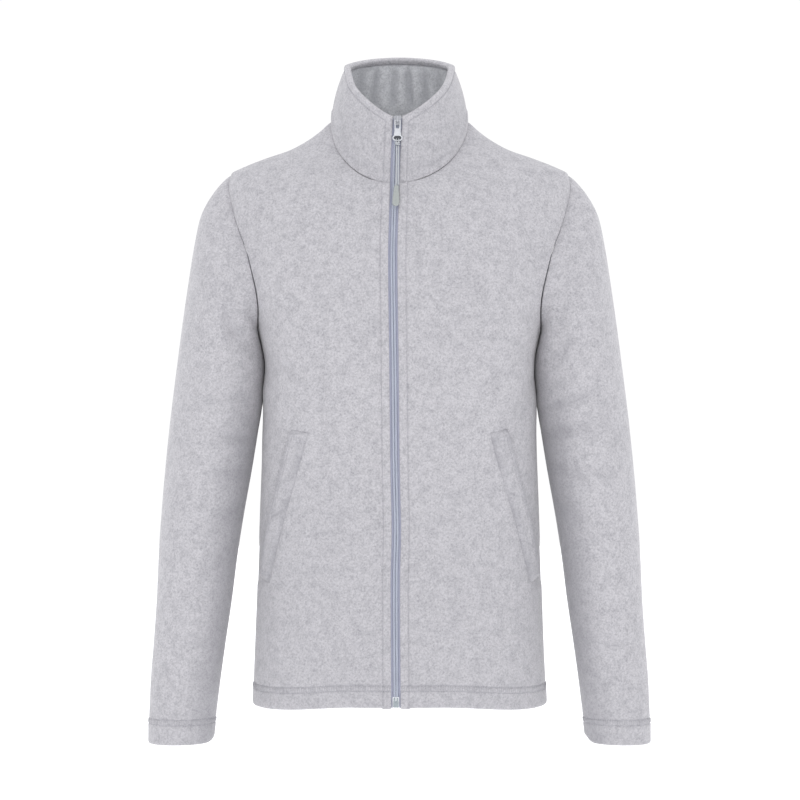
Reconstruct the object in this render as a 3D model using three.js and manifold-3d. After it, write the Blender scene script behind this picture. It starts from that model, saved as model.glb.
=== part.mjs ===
// Fleece zip jacket, filled out as if worn, with a stand collar zipped to the top.
// Millimetres, +Z up. The front faces -Y and the wearer's left sleeve is at +X.
// The origin lies between the shoulders, level with the points where they meet the neck.
import * as THREE from 'three';
import { mergeVertices } from 'three/addons/utils/BufferGeometryUtils.js';
import Module from 'manifold-3d';

const wasm = await Module();
wasm.setup();

// Sizes that the jacket is cut to
const CLOTH = 2.0;
const FOLDED_CLOTH = 3.6;
const SEAM_GAP = 0.3;
const EDGE = SEAM_GAP / 2;
const HEM_Z = -707;
const HEM_DEPTH = 27;
const FOLD_STEP = 3;
const ARMPIT_Z = -262;
const SHOULDER_TIP_Z = -66;
const ARMHOLE_HALF_DEPTH = 60;
const NECK_HALF_WIDTH = 83;
const NECK_DROP = 83;
const NAPE_RISE = 8;
const RING_POWER = 2.5;

// Sizes of the collar
const RIM_HALF_WIDTH = 64.5;
const RIM_FRONT_Y = -84;
const RIM_SIDE_Y = 8;
const RIM_BACK_Y = 60;
const RIM_FRONT_Z = -4.5;
const RIM_SIDE_Z = 71;
const RIM_BACK_Z = 87;
const RIM_BACK_POWER = 1.15;
const COLLAR_BULGE = 4.5;
const COLLAR_WALL = 4.4;
const COLLAR_FRONT_SHARE = 0.58;

// Sizes of the zip
const ZIP_HALF_OPENING = 6;
const TAPE_WALL = 0.6;
const TAPE_UNDER_CLOTH = 11;
const TAPE_INNER_X = 3.7;
const CHAIN_HALF_WIDTH = 3.3;
const CHAIN_FRONT = 0.7;
const CHAIN_BACK = 2.9;
const ZIP_FOOT_Z = HEM_Z + 12.6;
const SLIDER_TOP_Z = -3;
const SLIDER_LENGTH = 11.5;
const SLIDER_WIDTH = 8.6;
const PLATE_WALL = 1.3;
const TAB_WIDTH = 7.2;
const TAB_LENGTH = 17;
const TAB_WALL = 1.6;
const RING_WIDTH = 12.4;
const RING_HEIGHT = 8.6;
const RING_WIRE = 1.7;
const CORD_DIAMETER = 1.8;
const GRIP_WIDTH = 8.4;
const GRIP_LENGTH = 26;
const GRIP_WALL = 4.6;

// Sizes of the pockets
const WELT_WIDTH = 25;
const WELT_SLANT = 5;
const WELT_LIFT = 0.6;
const BAG_WALL = 1;

// The body's level rings: half width at the side, depth forward and depth back
const BODY_RINGS = [
  { z: -707, half: 180, front: 120, back: 112 },
  { z: -589, half: 175, front: 116, back: 105 },
  { z: -491, half: 171.6, front: 115, back: 101 },
  { z: -380, half: 168, front: 118, back: 106 },
  { z: -316, half: 167.5, front: 121, back: 114 },
  { z: -262, half: 178, front: 122, back: 120 },
  { z: -220, half: 190, front: 118, back: 122 },
  { z: -170, half: 202, front: 109, back: 121 },
  { z: -120, half: 212, front: 96, back: 115 },
  { z: -90, half: 213, front: 82.5, back: 107 },
  { z: -66, half: 207, front: 64, back: 98 },
  { z: -57, half: 190.5, front: 56, back: 94.5 },
  { z: -48, half: 168, front: 48, back: 90 },
  { z: -36, half: 134, front: 38, back: 83 },
  { z: -23, half: 111, front: 28, back: 75 },
  { z: -12, half: 96.5, front: 19, back: 68 },
  { z: -4, half: 88, front: 12, back: 62 },
  { z: 0, half: 83, front: 10, back: 60 },
  { z: 8, half: 79, front: 8, back: 56 },
];

// The chest stands a little further forward below the throat, where the zip bends
const THROAT = { rise: 7, width: 28, height: 30, z: -83 };

// The zip wanders a little to the wearer's right of the middle on its way up
const ZIP_WANDER = [
  { z: -707, x: -4.2 },
  { z: -560, x: -5 },
  { z: -500, x: -3.8 },
  { z: -420, x: -5.3 },
  { z: -300, x: -6.5 },
  { z: -170, x: -8 },
  { z: -110, x: -6.5 },
  { z: -45, x: -4.5 },
  { z: -5, x: -2.4 },
  { z: 90, x: 0 },
];
const WANDER_WIDTH = 75;
const HEM_DIP = 6.8;

// The sleeve's sections: outer edge, inner edge, half depth and the middle's place in Y
const SLEEVE_ROWS = [
  { outerX: 207, outerZ: -66, innerX: 178, innerZ: -262, half: 60, y: 0 },
  { outerX: 216, outerZ: -74, innerX: 178.4, innerZ: -263.5, half: 61, y: -0.5 },
  { outerX: 230, outerZ: -91, innerX: 177.8, innerZ: -266.5, half: 62.5, y: -1 },
  { outerX: 244, outerZ: -118, innerX: 176.2, innerZ: -273, half: 64, y: -2 },
  { outerX: 252.5, outerZ: -158, innerX: 173.6, innerZ: -283, half: 65.5, y: -3 },
  { outerX: 259.5, outerZ: -203, innerX: 170.3, innerZ: -298, half: 66, y: -4 },
  { outerX: 266.5, outerZ: -253, innerX: 168.6, innerZ: -320, half: 65.5, y: -6 },
  { outerX: 273.5, outerZ: -308, innerX: 168.6, innerZ: -347, half: 64, y: -8 },
  { outerX: 280.5, outerZ: -366, innerX: 174, innerZ: -385, half: 62, y: -10 },
  { outerX: 286, outerZ: -420, innerX: 181, innerZ: -429, half: 59, y: -12 },
  { outerX: 290.5, outerZ: -475, innerX: 190, innerZ: -480, half: 56, y: -15 },
  { outerX: 294, outerZ: -530, innerX: 198, innerZ: -532, half: 52, y: -19 },
  { outerX: 296, outerZ: -585, innerX: 204.5, innerZ: -586, half: 48, y: -24 },
  { outerX: 299, outerZ: -635, innerX: 211.5, innerZ: -635.5, half: 44, y: -29 },
  { outerX: 302.5, outerZ: -685, innerX: 218, innerZ: -685, half: 40, y: -34 },
  { outerX: 304, outerZ: -729, innerX: 223, innerZ: -728, half: 36.5, y: -38 },
  { outerX: 304.3, outerZ: -732, innerX: 223.3, innerZ: -731, half: 36.3, y: -38.3 },
  { outerX: 304.5, outerZ: -758.5, innerX: 225.4, innerZ: -757, half: 34.5, y: -40 },
];
const SLEEVE_FOLD_ROW = 16;
const MORPH_ROWS = 5;

// The welt's inner edge, from its top end to its bottom end
const WELT_EDGE = [
  { x: 107, z: -383 },
  { x: 125, z: -446 },
  { x: 140, z: -496 },
  { x: 156.4, z: -563 },
];

// How many steps each cloth piece is drawn with
const SIDE_STEPS = 9;
const ARMHOLE_STEPS = 12;
const SHOULDER_STEPS = 6;
const NECK_STEPS = 8;
const SLEEVE_STEPS = 2 * ARMHOLE_STEPS;
const CHAIN_LEVELS = 24;
const WELT_LEVELS = 12;
const WELT_STEPS = 3;

const COLOURS = {
  fleece: { color: 0xc4c3c8, roughness: 0.95, metalness: 0 },
  tape: { color: 0xa4a5b4, roughness: 0.8, metalness: 0 },
  coil: { color: 0xacb0bd, roughness: 0.45, metalness: 0 },
  metal: { color: 0xc9ccd2, roughness: 0.3, metalness: 1 },
  cord: { color: 0x9aa0a3, roughness: 0.7, metalness: 0 },
  grip: { color: 0x8d9796, roughness: 0.5, metalness: 0 },
};

const group = new THREE.Group();
group.name = 'fleece_zip_jacket';

const mix = (a, b, t) => a + (b - a) * t;

function smoothstep(low, high, value) {
  const t = Math.min(1, Math.max(0, (value - low) / (high - low)));
  return t * t * (3 - 2 * t);
}

// A smooth curve through one column of a table that never swings past its rows
function curveThrough(rows, key, column) {
  const xs = rows.map((row, index) => (key === null ? index : row[key]));
  const ys = rows.map((row) => row[column]);
  const steps = xs.slice(1).map((x, i) => (ys[i + 1] - ys[i]) / (x - xs[i]));
  const slopes = ys.map((_, i) => {
    if (i === 0) return steps[0];
    if (i === ys.length - 1) return steps[i - 1];
    const product = steps[i - 1] * steps[i];
    return product <= 0 ? 0 : (2 * product) / (steps[i - 1] + steps[i]);
  });
  return (x) => {
    let i = 0;
    while (i < xs.length - 2 && x > xs[i + 1]) i += 1;
    const span = xs[i + 1] - xs[i];
    const t = (x - xs[i]) / span;
    const rise = (t * t) * (3 - 2 * t);
    const leave = t * (1 - t) * (1 - t) * span;
    const arrive = t * t * (t - 1) * span;
    return mix(ys[i], ys[i + 1], rise) + leave * slopes[i] + arrive * slopes[i + 1];
  };
}

const halfWidth = curveThrough(BODY_RINGS, 'z', 'half');
const frontDepth = curveThrough(BODY_RINGS, 'z', 'front');
const backDepth = curveThrough(BODY_RINGS, 'z', 'back');

// Depth of the body at a level; facing is -1 for the front and +1 for the back
function depthAt(x, z, facing) {
  if (facing > 0) return backDepth(z);
  const across = Math.exp(-((x / THROAT.width) ** 2));
  const along = Math.exp(-(((z - THROAT.z) / THROAT.height) ** 2));
  return frontDepth(z) + THROAT.rise * across * along;
}

// Points of the body's outer face, found by their place across the front or by their depth
function bodyAtX(x, z, facing) {
  const share = Math.min(1, Math.abs(x) / halfWidth(z));
  const depth = depthAt(x, z, facing) * (1 - share ** RING_POWER) ** (1 / RING_POWER);
  return new THREE.Vector3(x, facing * depth, z);
}

function bodyAtY(y, z, facing) {
  const share = Math.min(1, Math.abs(y) / depthAt(200, z, facing));
  return new THREE.Vector3(halfWidth(z) * (1 - share ** RING_POWER) ** (1 / RING_POWER), y, z);
}

// A ring angle is 0 at the side seam and a quarter turn at the centre line
const angleOfX = (x, z) => Math.acos(Math.min(1, Math.abs(x) / halfWidth(z)) ** (RING_POWER / 2));
function bodyAtAngle(angle, z, facing) {
  const x = halfWidth(z) * Math.cos(angle) ** (2 / RING_POWER);
  const y = depthAt(x, z, facing) * Math.sin(angle) ** (2 / RING_POWER);
  return new THREE.Vector3(x, facing * y, z);
}

// How far out a point is: 1 on the body's outer face, less inside it
function reachOf(x, y, z, facing) {
  const across = Math.abs(x) / halfWidth(z);
  const forward = Math.abs(y) / depthAt(x, z, facing);
  return (across ** RING_POWER + forward ** RING_POWER) ** (1 / RING_POWER);
}

function reachSlope({ x, y, z }, facing) {
  const h = 0.05;
  return new THREE.Vector3(
    reachOf(x + h, y, z, facing) - reachOf(x - h, y, z, facing),
    reachOf(x, y + h, z, facing) - reachOf(x, y - h, z, facing),
    reachOf(x, y, z + h, facing) - reachOf(x, y, z - h, facing),
  ).divideScalar(2 * h);
}

// Which way the body's cloth faces
const bodyNormal = (point) => reachSlope(point, point.y < 0 ? -1 : 1).normalize();

// Moves a point out to the body's face; with climb 0 it stays on its own level
function ontoBody(point, facing, climb) {
  for (let i = 0; i < 8; i += 1) {
    const slope = reachSlope(point, facing);
    slope.z *= climb;
    const miss = 1 - reachOf(point.x, point.y, point.z, facing);
    point.addScaledVector(slope, miss / slope.lengthSq());
  }
  return point;
}

// The armhole's loop, from the shoulder tip (0) to the armpit (half a turn)
function armholePoint(turn, facing, grow) {
  const middle = (SHOULDER_TIP_Z + ARMPIT_Z) / 2;
  const reach = (SHOULDER_TIP_Z - ARMPIT_Z) / 2 + grow;
  const sweep = ARMHOLE_HALF_DEPTH * (0.97 - 0.42 * Math.cos(turn)) + grow;
  return bodyAtY(facing * sweep * Math.sin(turn), middle + reach * Math.cos(turn), facing);
}

// The neck seam: share runs from the shoulder point (0) to the centre front or back (1)
function neckPoint(share, facing, stopX) {
  const turn = share * Math.acos(stopX / NECK_HALF_WIDTH);
  const x = NECK_HALF_WIDTH * Math.cos(turn);
  const z = facing < 0 ? -NECK_DROP * Math.sin(turn) : NAPE_RISE * Math.sin(turn) ** 2;
  return bodyAtX(Math.min(x, halfWidth(z)), z, facing);
}

// The way across the neck seam, away from the collar and along the body's face
function offNeck(share, facing, stopX) {
  const h = 0.02;
  const point = neckPoint(share, facing, stopX);
  const ahead = neckPoint(Math.min(1, share + h), facing, stopX);
  const along = ahead.sub(neckPoint(Math.max(0, Math.min(1, share + h) - 2 * h), facing, stopX));
  const away = along.cross(bodyNormal(point)).normalize();
  return away.dot(new THREE.Vector3(point.x, point.y, -40)) < 0 ? away.negate() : away;
}

// Slides the front's cloth sideways with the zip's wandering line
const zipX = curveThrough(ZIP_WANDER, 'z', 'x');
function wander(point) {
  const near = Math.exp(-((point.x / WANDER_WIDTH) ** 2)) * smoothstep(0, 40, -point.y);
  return point.clone().setX(point.x + zipX(point.z) * near);
}

// The hem hangs a little lower towards the side seams
function dipped(point) {
  const share = smoothstep(560, 690, -point.z) * smoothstep(50, 165, Math.abs(point.x));
  return point.clone().setZ(point.z - HEM_DIP * share);
}
const hung = (rows) => rows.map((row) => row.map(dipped));
const wandered = (rows) => rows.map((row) => row.map(wander));

function meshNode(name, geometry, look) {
  const material = new THREE.MeshStandardMaterial(COLOURS[look]);
  const mesh = new THREE.Mesh(geometry, material);
  mesh.name = name;
  group.add(mesh);
  return mesh;
}

function closedGeometry(points, triangles) {
  let volume = 0;
  for (let i = 0; i < triangles.length; i += 3) {
    const [a, b, c] = [points[triangles[i]], points[triangles[i + 1]], points[triangles[i + 2]]];
    volume += a.dot(new THREE.Vector3().crossVectors(b, c));
  }
  const index = volume > 0 ? triangles : triangles.slice().reverse();
  const geometry = new THREE.BufferGeometry();
  const flat = points.flatMap((point) => [point.x, point.y, point.z]);
  geometry.setAttribute('position', new THREE.Float32BufferAttribute(flat, 3));
  geometry.setIndex(index);
  geometry.computeVertexNormals();
  return geometry;
}

// A sheet of cloth between two faces, each given as rows of points; round joins its sides
function sheetGeometry(outer, inner, round = false) {
  const rows = outer.length;
  const columns = outer[0].length;
  const points = [...outer.flat(), ...inner.flat()];
  const half = rows * columns;
  const triangles = [];
  const quad = (a, b, c, d) => triangles.push(a, b, c, a, c, d);
  const at = (row, column) => row * columns + (column % columns);
  const across = round ? columns : columns - 1;
  for (let r = 0; r < rows - 1; r += 1) {
    for (let c = 0; c < across; c += 1) {
      quad(at(r, c), at(r, c + 1), at(r + 1, c + 1), at(r + 1, c));
      quad(half + at(r, c), half + at(r + 1, c), half + at(r + 1, c + 1), half + at(r, c + 1));
    }
  }
  for (let c = 0; c < across; c += 1) {
    quad(at(0, c + 1), at(0, c), half + at(0, c), half + at(0, c + 1));
    quad(at(rows - 1, c), at(rows - 1, c + 1), half + at(rows - 1, c + 1), half + at(rows - 1, c));
  }
  for (let r = 0; !round && r < rows - 1; r += 1) {
    quad(at(r, 0), at(r + 1, 0), half + at(r + 1, 0), half + at(r, 0));
    const last = columns - 1;
    quad(at(r + 1, last), at(r, last), half + at(r, last), half + at(r + 1, last));
  }
  return closedGeometry(points, triangles);
}

const mirrored = (rows) => rows.map((row) => row.map((p) => new THREE.Vector3(-p.x, p.y, p.z)));

function clothPair(names, outer, inner, look = 'fleece', round = false) {
  const faces = [outer, inner];
  const [left, right] = [faces, faces.map(mirrored)].map((side) => side.map(wandered));
  meshNode(names[0], sheetGeometry(...left, round), look);
  meshNode(names[1], sheetGeometry(...right, round), look);
}

// Body panels: a level and a ring angle for each grid point, patched between four edges
function panelGrid(facing, stopX) {
  const sideLength = ARMPIT_Z - HEM_Z;
  const armholeLength = 1.17 * (SHOULDER_TIP_Z - ARMPIT_Z);
  const sideShare = sideLength / (sideLength + armholeLength);
  const neckShare = 0.5;
  const centreTop = neckPoint(1, facing, stopX).z;
  const foldShares = [0, HEM_DEPTH, HEM_DEPTH + FOLD_STEP].map((z) => (sideShare * z) / sideLength);
  const shares = [...foldShares];
  for (let i = 1; i <= SIDE_STEPS; i += 1) {
    shares.push(mix(foldShares[2], sideShare, i / SIDE_STEPS));
  }
  for (let i = 1; i <= ARMHOLE_STEPS; i += 1) {
    shares.push(mix(sideShare, 1, i / ARMHOLE_STEPS));
  }
  const columns = [];
  for (let i = 0; i <= SHOULDER_STEPS; i += 1) {
    columns.push((neckShare * i) / SHOULDER_STEPS);
  }
  for (let i = 1; i <= NECK_STEPS; i += 1) {
    columns.push(mix(neckShare, 1, i / NECK_STEPS));
  }
  const side = (share) => {
    if (share <= sideShare) {
      return bodyAtY(facing * EDGE, mix(HEM_Z, ARMPIT_Z - EDGE, share / sideShare), facing);
    }
    const turn = Math.PI * (1 - (share - sideShare) / (1 - sideShare));
    const point = armholePoint(turn, facing, EDGE);
    return Math.abs(point.y) < EDGE ? bodyAtY(facing * EDGE, point.z, facing) : point;
  };
  const centre = (share) => bodyAtX(stopX, mix(HEM_Z, centreTop, share), facing);
  const top = (share) => {
    if (share <= neckShare) {
      return bodyAtY(facing * EDGE, mix(SHOULDER_TIP_Z + EDGE, 0, share / neckShare), facing);
    }
    return neckPoint((share - neckShare) / (1 - neckShare), facing, stopX);
  };
  return shares.map((v) => columns.map((u) => {
    const point = side(v).lerp(centre(v), u);
    const pull = top(u).sub(top(0).lerp(top(1), u));
    point.addScaledVector(pull, v ** 4);
    if (u > 0 && u < 1 && v < 1) ontoBody(point, facing, smoothstep(0.3, 0.75, v));
    if (v === 1 && u >= neckShare) {
      const away = offNeck((u - neckShare) / (1 - neckShare), facing, stopX);
      if (u === neckShare) away.y = 0;
      point.addScaledVector(away, SEAM_GAP);
    }
    if (u === 1) point.x = stopX;
    return point;
  }));
}

// The panel's inner face, thicker where the hem is folded up
function innerFace(outer) {
  return outer.map((row, level) => {
    const wall = level < 2 ? FOLDED_CLOTH : CLOTH;
    return row.map((p) => p.clone().addScaledVector(bodyNormal(p), -wall));
  });
}

const frontOuter = hung(panelGrid(-1, ZIP_HALF_OPENING));
const frontInner = innerFace(frontOuter);
clothPair(['front_left', 'front_right'], frontOuter, frontInner);

// The back is one piece, cut on the fold at the centre
const backHalf = hung(panelGrid(1, 0));
const wholeRow = (row) => [
  ...row.map((p) => new THREE.Vector3(-p.x, p.y, p.z)),
  ...row.slice(0, -1).reverse(),
];
const backOuter = backHalf.map(wholeRow);
const backInner = innerFace(backHalf).map(wholeRow);
meshNode('back', sheetGeometry(backOuter, backInner), 'fleece');

// Sleeves: round sections that start as the armhole's own shape and turn to an oval
const sleeveColumn = (column) => curveThrough(SLEEVE_ROWS, null, column);
const SLEEVE = {
  outerX: sleeveColumn('outerX'),
  outerZ: sleeveColumn('outerZ'),
  innerX: sleeveColumn('innerX'),
  innerZ: sleeveColumn('innerZ'),
  half: sleeveColumn('half'),
  y: sleeveColumn('y'),
};

function sleeveOval(row, turn) {
  const along = Math.cos(turn);
  const x = (SLEEVE.outerX(row) + SLEEVE.innerX(row)) / 2
    + ((SLEEVE.outerX(row) - SLEEVE.innerX(row)) / 2) * along;
  const z = (SLEEVE.outerZ(row) + SLEEVE.innerZ(row)) / 2
    + ((SLEEVE.outerZ(row) - SLEEVE.innerZ(row)) / 2) * along;
  return new THREE.Vector3(x, SLEEVE.y(row) - SLEEVE.half(row) * Math.sin(turn), z);
}

function sleevePoint(row, turn) {
  const point = sleeveOval(row, turn);
  if (row >= MORPH_ROWS) return point;
  const facing = Math.sin(turn) >= 0 ? -1 : 1;
  const bend = Math.acos(Math.cos(turn));
  const seam = armholePoint(bend, facing, -EDGE);
  seam.x += 0.6 * smoothstep(0.6, 2.4, bend);
  const fade = 1 - smoothstep(0, MORPH_ROWS, row);
  return point.add(seam.sub(sleeveOval(0, turn)).multiplyScalar(fade));
}

function sleeveNormal(row, turn) {
  const h = 0.02;
  const round = sleevePoint(row, turn + h).sub(sleevePoint(row, turn - h));
  const high = Math.min(SLEEVE_ROWS.length - 1, row + h);
  const down = sleevePoint(high, turn).sub(sleevePoint(high - 2 * h, turn));
  return round.cross(down).normalize();
}

const sleeveOuter = [];
const sleeveInner = [];
SLEEVE_ROWS.forEach((_, row) => {
  const outerRow = [];
  const innerRow = [];
  for (let i = 0; i < SLEEVE_STEPS; i += 1) {
    const turn = (i / SLEEVE_STEPS) * 2 * Math.PI;
    const point = sleevePoint(row, turn);
    const normal = sleeveNormal(Math.max(row, 0.05), turn);
    if (normal.dot(point.clone().sub(sleeveOval(row, turn + Math.PI))) < 0) normal.negate();
    if (row === 0) {
      const bend = Math.acos(Math.cos(turn));
      normal.lerp(bodyNormal(point), 1 - smoothstep(0.7, 2.2, bend)).normalize();
    }
    outerRow.push(point);
    innerRow.push(point.clone().addScaledVector(normal, row >= SLEEVE_FOLD_ROW ? -FOLDED_CLOTH : -CLOTH));
  }
  sleeveOuter.push(outerRow);
  sleeveInner.push(innerRow);
});
clothPair(['sleeve_left', 'sleeve_right'], sleeveOuter, sleeveInner, 'fleece', true);

// Collar: share runs from the centre front (0) round the side to the centre back (1)
const rimRise = (sine) => 0.7 * sine ** 1.5 + 0.3 * sine ** 12;

function rimPoint(share) {
  if (share <= COLLAR_FRONT_SHARE) {
    const turn = (Math.PI / 2) * (share / COLLAR_FRONT_SHARE);
    const sine = Math.sin(turn);
    const y = mix(RIM_SIDE_Y, RIM_FRONT_Y, Math.cos(turn));
    return new THREE.Vector3(RIM_HALF_WIDTH * sine, y, mix(RIM_FRONT_Z, RIM_SIDE_Z, rimRise(sine)));
  }
  const turn = (Math.PI / 2) * ((share - COLLAR_FRONT_SHARE) / (1 - COLLAR_FRONT_SHARE));
  const sine = Math.sin(turn);
  const y = mix(RIM_SIDE_Y, RIM_BACK_Y, sine);
  const z = mix(RIM_SIDE_Z, RIM_BACK_Z, sine ** RIM_BACK_POWER);
  return new THREE.Vector3(RIM_HALF_WIDTH * Math.cos(turn), y, z);
}

function collarFoot(share) {
  if (share <= COLLAR_FRONT_SHARE) {
    return neckPoint(1 - share / COLLAR_FRONT_SHARE, -1, 0);
  }
  return neckPoint((share - COLLAR_FRONT_SHARE) / (1 - COLLAR_FRONT_SHARE), 1, 0);
}

function collarPoint(share, height) {
  const foot = collarFoot(share);
  const rim = rimPoint(share);
  const point = foot.clone().lerp(rim, height);
  const out = new THREE.Vector3(point.x, point.y + 10, 0).normalize();
  const bulge = COLLAR_BULGE * mix(0.3, 1, smoothstep(0, 0.3, share));
  return point.addScaledVector(out, bulge * Math.sin(Math.PI * height) ** 0.8);
}

function collarNormal(share, height) {
  const h = 0.01;
  const low = Math.max(0, share - h);
  const high = Math.min(1, share + h);
  const round = collarPoint(high, height).sub(collarPoint(low, height));
  const up = collarPoint(share, Math.min(1, height + h)).sub(collarPoint(share, Math.max(0, height - h)));
  const normal = round.cross(up).normalize();
  const point = collarPoint(share, height);
  if (normal.x * point.x + normal.y * (point.y + 10) < 0) normal.negate();
  return normal;
}

// The place round the collar where its cloth lies a given distance from the centre line
function shareAtX(x, height) {
  let low = 0;
  let high = COLLAR_FRONT_SHARE;
  for (let i = 0; i < 30; i += 1) {
    const middle = (low + high) / 2;
    if (collarPoint(middle, height).x < x) low = middle;
    else high = middle;
  }
  return (low + high) / 2;
}

const COLLAR_HEIGHTS = [0, 0.12, 0.3, 0.5, 0.7, 0.86, 0.95, 0.985, 1];
const collarWall = (height) => {
  const body = mix(CLOTH, COLLAR_WALL, smoothstep(0, 0.2, height));
  return height > 0.94 ? body * Math.sqrt(Math.max(0.03, 1 - ((height - 0.94) / 0.061) ** 2)) : body;
};

// The collar's columns stand on the neck points of the fronts and the back
function collarColumns() {
  const frontTurn = Math.acos(ZIP_HALF_OPENING / NECK_HALF_WIDTH) / (Math.PI / 2);
  const columns = [];
  for (let i = 0; i < NECK_STEPS; i += 1) {
    columns.push(COLLAR_FRONT_SHARE * (1 - frontTurn * (1 - i / NECK_STEPS)));
  }
  for (let i = 0; i <= NECK_STEPS; i += 1) {
    columns.push(mix(COLLAR_FRONT_SHARE, 1, i / NECK_STEPS));
  }
  return columns;
}

const collarOuter = [];
const collarInner = [];
COLLAR_HEIGHTS.forEach((height) => {
  const outerHalf = [];
  const innerHalf = [];
  const start = shareAtX(ZIP_HALF_OPENING, height);
  const columns = collarColumns();
  const last = columns.length - 1;
  columns.forEach((column, i) => {
    const share = mix(start, 1, (column - columns[0]) / (1 - columns[0]));
    const face = collarPoint(share, height);
    const normal = height === 0 ? bodyNormal(face) : collarNormal(share, height);
    const wall = collarWall(height);
    const full = mix(CLOTH, COLLAR_WALL, smoothstep(0, 0.2, height));
    const outer = face.clone().addScaledVector(normal, -(full - wall) / 2);
    const inner = face.clone().addScaledVector(normal, -(full + wall) / 2);
    if (i === 0) {
      outer.x = ZIP_HALF_OPENING;
      inner.x = ZIP_HALF_OPENING;
    }
    if (i === last) {
      outer.x = 0;
      inner.x = 0;
    }
    outerHalf.push(outer);
    innerHalf.push(inner);
  });
  const whole = (half) => [
    ...half.map((p) => new THREE.Vector3(-p.x, p.y, p.z)),
    ...half.slice(0, -1).reverse(),
  ];
  collarOuter.push(whole(outerHalf));
  collarInner.push(whole(innerHalf));
});
meshNode('collar', sheetGeometry(wandered(collarOuter), wandered(collarInner)), 'fleece');

// Welts lie on the fronts and slant down towards the side seams
const weltX = curveThrough(WELT_EDGE.slice().reverse(), 'z', 'x');

function alongRing(x, z, distance) {
  let angle = angleOfX(x, z);
  let last = bodyAtAngle(angle, z, -1);
  let run = 0;
  while (run < distance && angle > 0.002) {
    angle -= 0.002;
    const next = bodyAtAngle(angle, z, -1);
    run += next.distanceTo(last);
    last = next;
  }
  return last;
}

const weltFace = (lift) => {
  const rows = [];
  for (let i = 0; i <= WELT_LEVELS; i += 1) {
    const z = mix(WELT_EDGE[0].z, WELT_EDGE[WELT_EDGE.length - 1].z, i / WELT_LEVELS);
    const row = [];
    for (let k = 0; k <= WELT_STEPS; k += 1) {
      const step = k / WELT_STEPS;
      const point = alongRing(weltX(z), z + WELT_SLANT * step, WELT_WIDTH * step);
      row.push(point.addScaledVector(bodyNormal(point), lift));
    }
    rows.push(row);
  }
  return rows;
};
clothPair(['welt_left', 'welt_right'], weltFace(WELT_LIFT + CLOTH), weltFace(WELT_LIFT));

// Pocket bags hang inside the fronts, from above the welt to the hem fold
const BAG_ROWS = { from: 3, to: 10 };
const BAG_COLUMNS = { from: 2, to: 11 };
const bagFace = (lift) => frontInner.slice(BAG_ROWS.from, BAG_ROWS.to).map((row) =>
  row.slice(BAG_COLUMNS.from, BAG_COLUMNS.to).map((p) => {
    const out = bodyNormal(p);
    return p.clone().addScaledVector(out, -lift);
  }));
clothPair(['pocket_bag_left', 'pocket_bag_right'], bagFace(SEAM_GAP), bagFace(SEAM_GAP + BAG_WALL));

// Zip tapes: behind the fronts, and slipped into the hem's fold and the collar's two layers
const TAPE_DEPTH = CLOTH + SEAM_GAP;
const TAPE_SHOWN = ZIP_HALF_OPENING - SEAM_GAP - TAPE_INNER_X;

function tapeFace(lift) {
  const lastLevel = frontInner.length - 1;
  const rows = frontInner.map((row, level) => {
    const edge = row[row.length - 1];
    const away = row[row.length - 2].clone().sub(edge).normalize();
    const face = frontOuter[level][row.length - 1];
    const normal = bodyNormal(face);
    const start = face.clone().addScaledVector(normal, -CLOTH - lift);
    const inFold = level <= 2 || level === lastLevel;
    const reach = inFold ? -SEAM_GAP : TAPE_UNDER_CLOTH;
    return [TAPE_INNER_X - ZIP_HALF_OPENING, reach].map((d) => start.clone().addScaledVector(away, d));
  });
  COLLAR_HEIGHTS.slice(0, -2).forEach((height) => {
    const share = shareAtX(ZIP_HALF_OPENING, height);
    const face = collarPoint(share, height);
    const normal = collarNormal(share, height);
    normal.x = 0;
    const start = face.addScaledVector(normal.normalize(), -CLOTH - lift);
    rows.push([TAPE_INNER_X, TAPE_INNER_X + TAPE_SHOWN].map((x) => start.clone().setX(x)));
  });
  return rows;
}
clothPair(
  ['zip_tape_left', 'zip_tape_right'],
  tapeFace(SEAM_GAP),
  tapeFace(SEAM_GAP + TAPE_WALL),
  'tape',
);

// The zip's centre line, from the bottom box up to the collar's rim, set back from the cloth face
const zipLine = (z) => bodyAtX(0, z, -1);

function zipPath(lift) {
  const points = [];
  for (let i = 0; i <= CHAIN_LEVELS; i += 1) {
    const point = zipLine(mix(ZIP_FOOT_Z, neckPoint(1, -1, 0).z, i / CHAIN_LEVELS));
    points.push(point.clone().addScaledVector(bodyNormal(point), -lift));
  }
  for (let i = 1; i <= 8; i += 1) {
    const normal = collarNormal(0.01, i / 8).setX(0).normalize();
    points.push(collarPoint(0, i / 8).addScaledVector(normal, -lift));
  }
  return points;
}

const chainTop = SLIDER_TOP_Z - SLIDER_LENGTH * 0.45;
const across = (p, half) => [new THREE.Vector3(half, p.y, p.z), new THREE.Vector3(-half, p.y, p.z)];
const chainFace = (lift) => zipPath(lift)
  .filter((p) => p.z < chainTop)
  .map((p) => across(p, CHAIN_HALF_WIDTH));
meshNode(
  'zip_chain',
  sheetGeometry(wandered(chainFace(CHAIN_FRONT)), wandered(chainFace(CHAIN_BACK))),
  'coil',
);

// Hard zip pieces are made lying on a flat zip: X across, Y into the cloth, Z up the zip
const box = (low, high) => wasm.Manifold.cube(high.map((v, i) => v - low[i])).translate(low);
const barAlongX = (radius, length) =>
  wasm.Manifold.cylinder(length, radius, radius, 16, true).rotate([0, 90, 0]);

function solidGeometry(solid) {
  const mesh = solid.getMesh();
  const geometry = new THREE.BufferGeometry();
  const points = mesh.vertProperties;
  geometry.setAttribute('position', new THREE.Float32BufferAttribute(points, mesh.numProp));
  geometry.setIndex(Array.from(mesh.triVerts));
  geometry.computeVertexNormals();
  return geometry;
}

const collarTop = collarPoint(0, 0.98);
const collarLow = collarPoint(0, 0.8);
const lean = Math.atan2(collarLow.y - collarTop.y, collarTop.z - collarLow.z);

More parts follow.
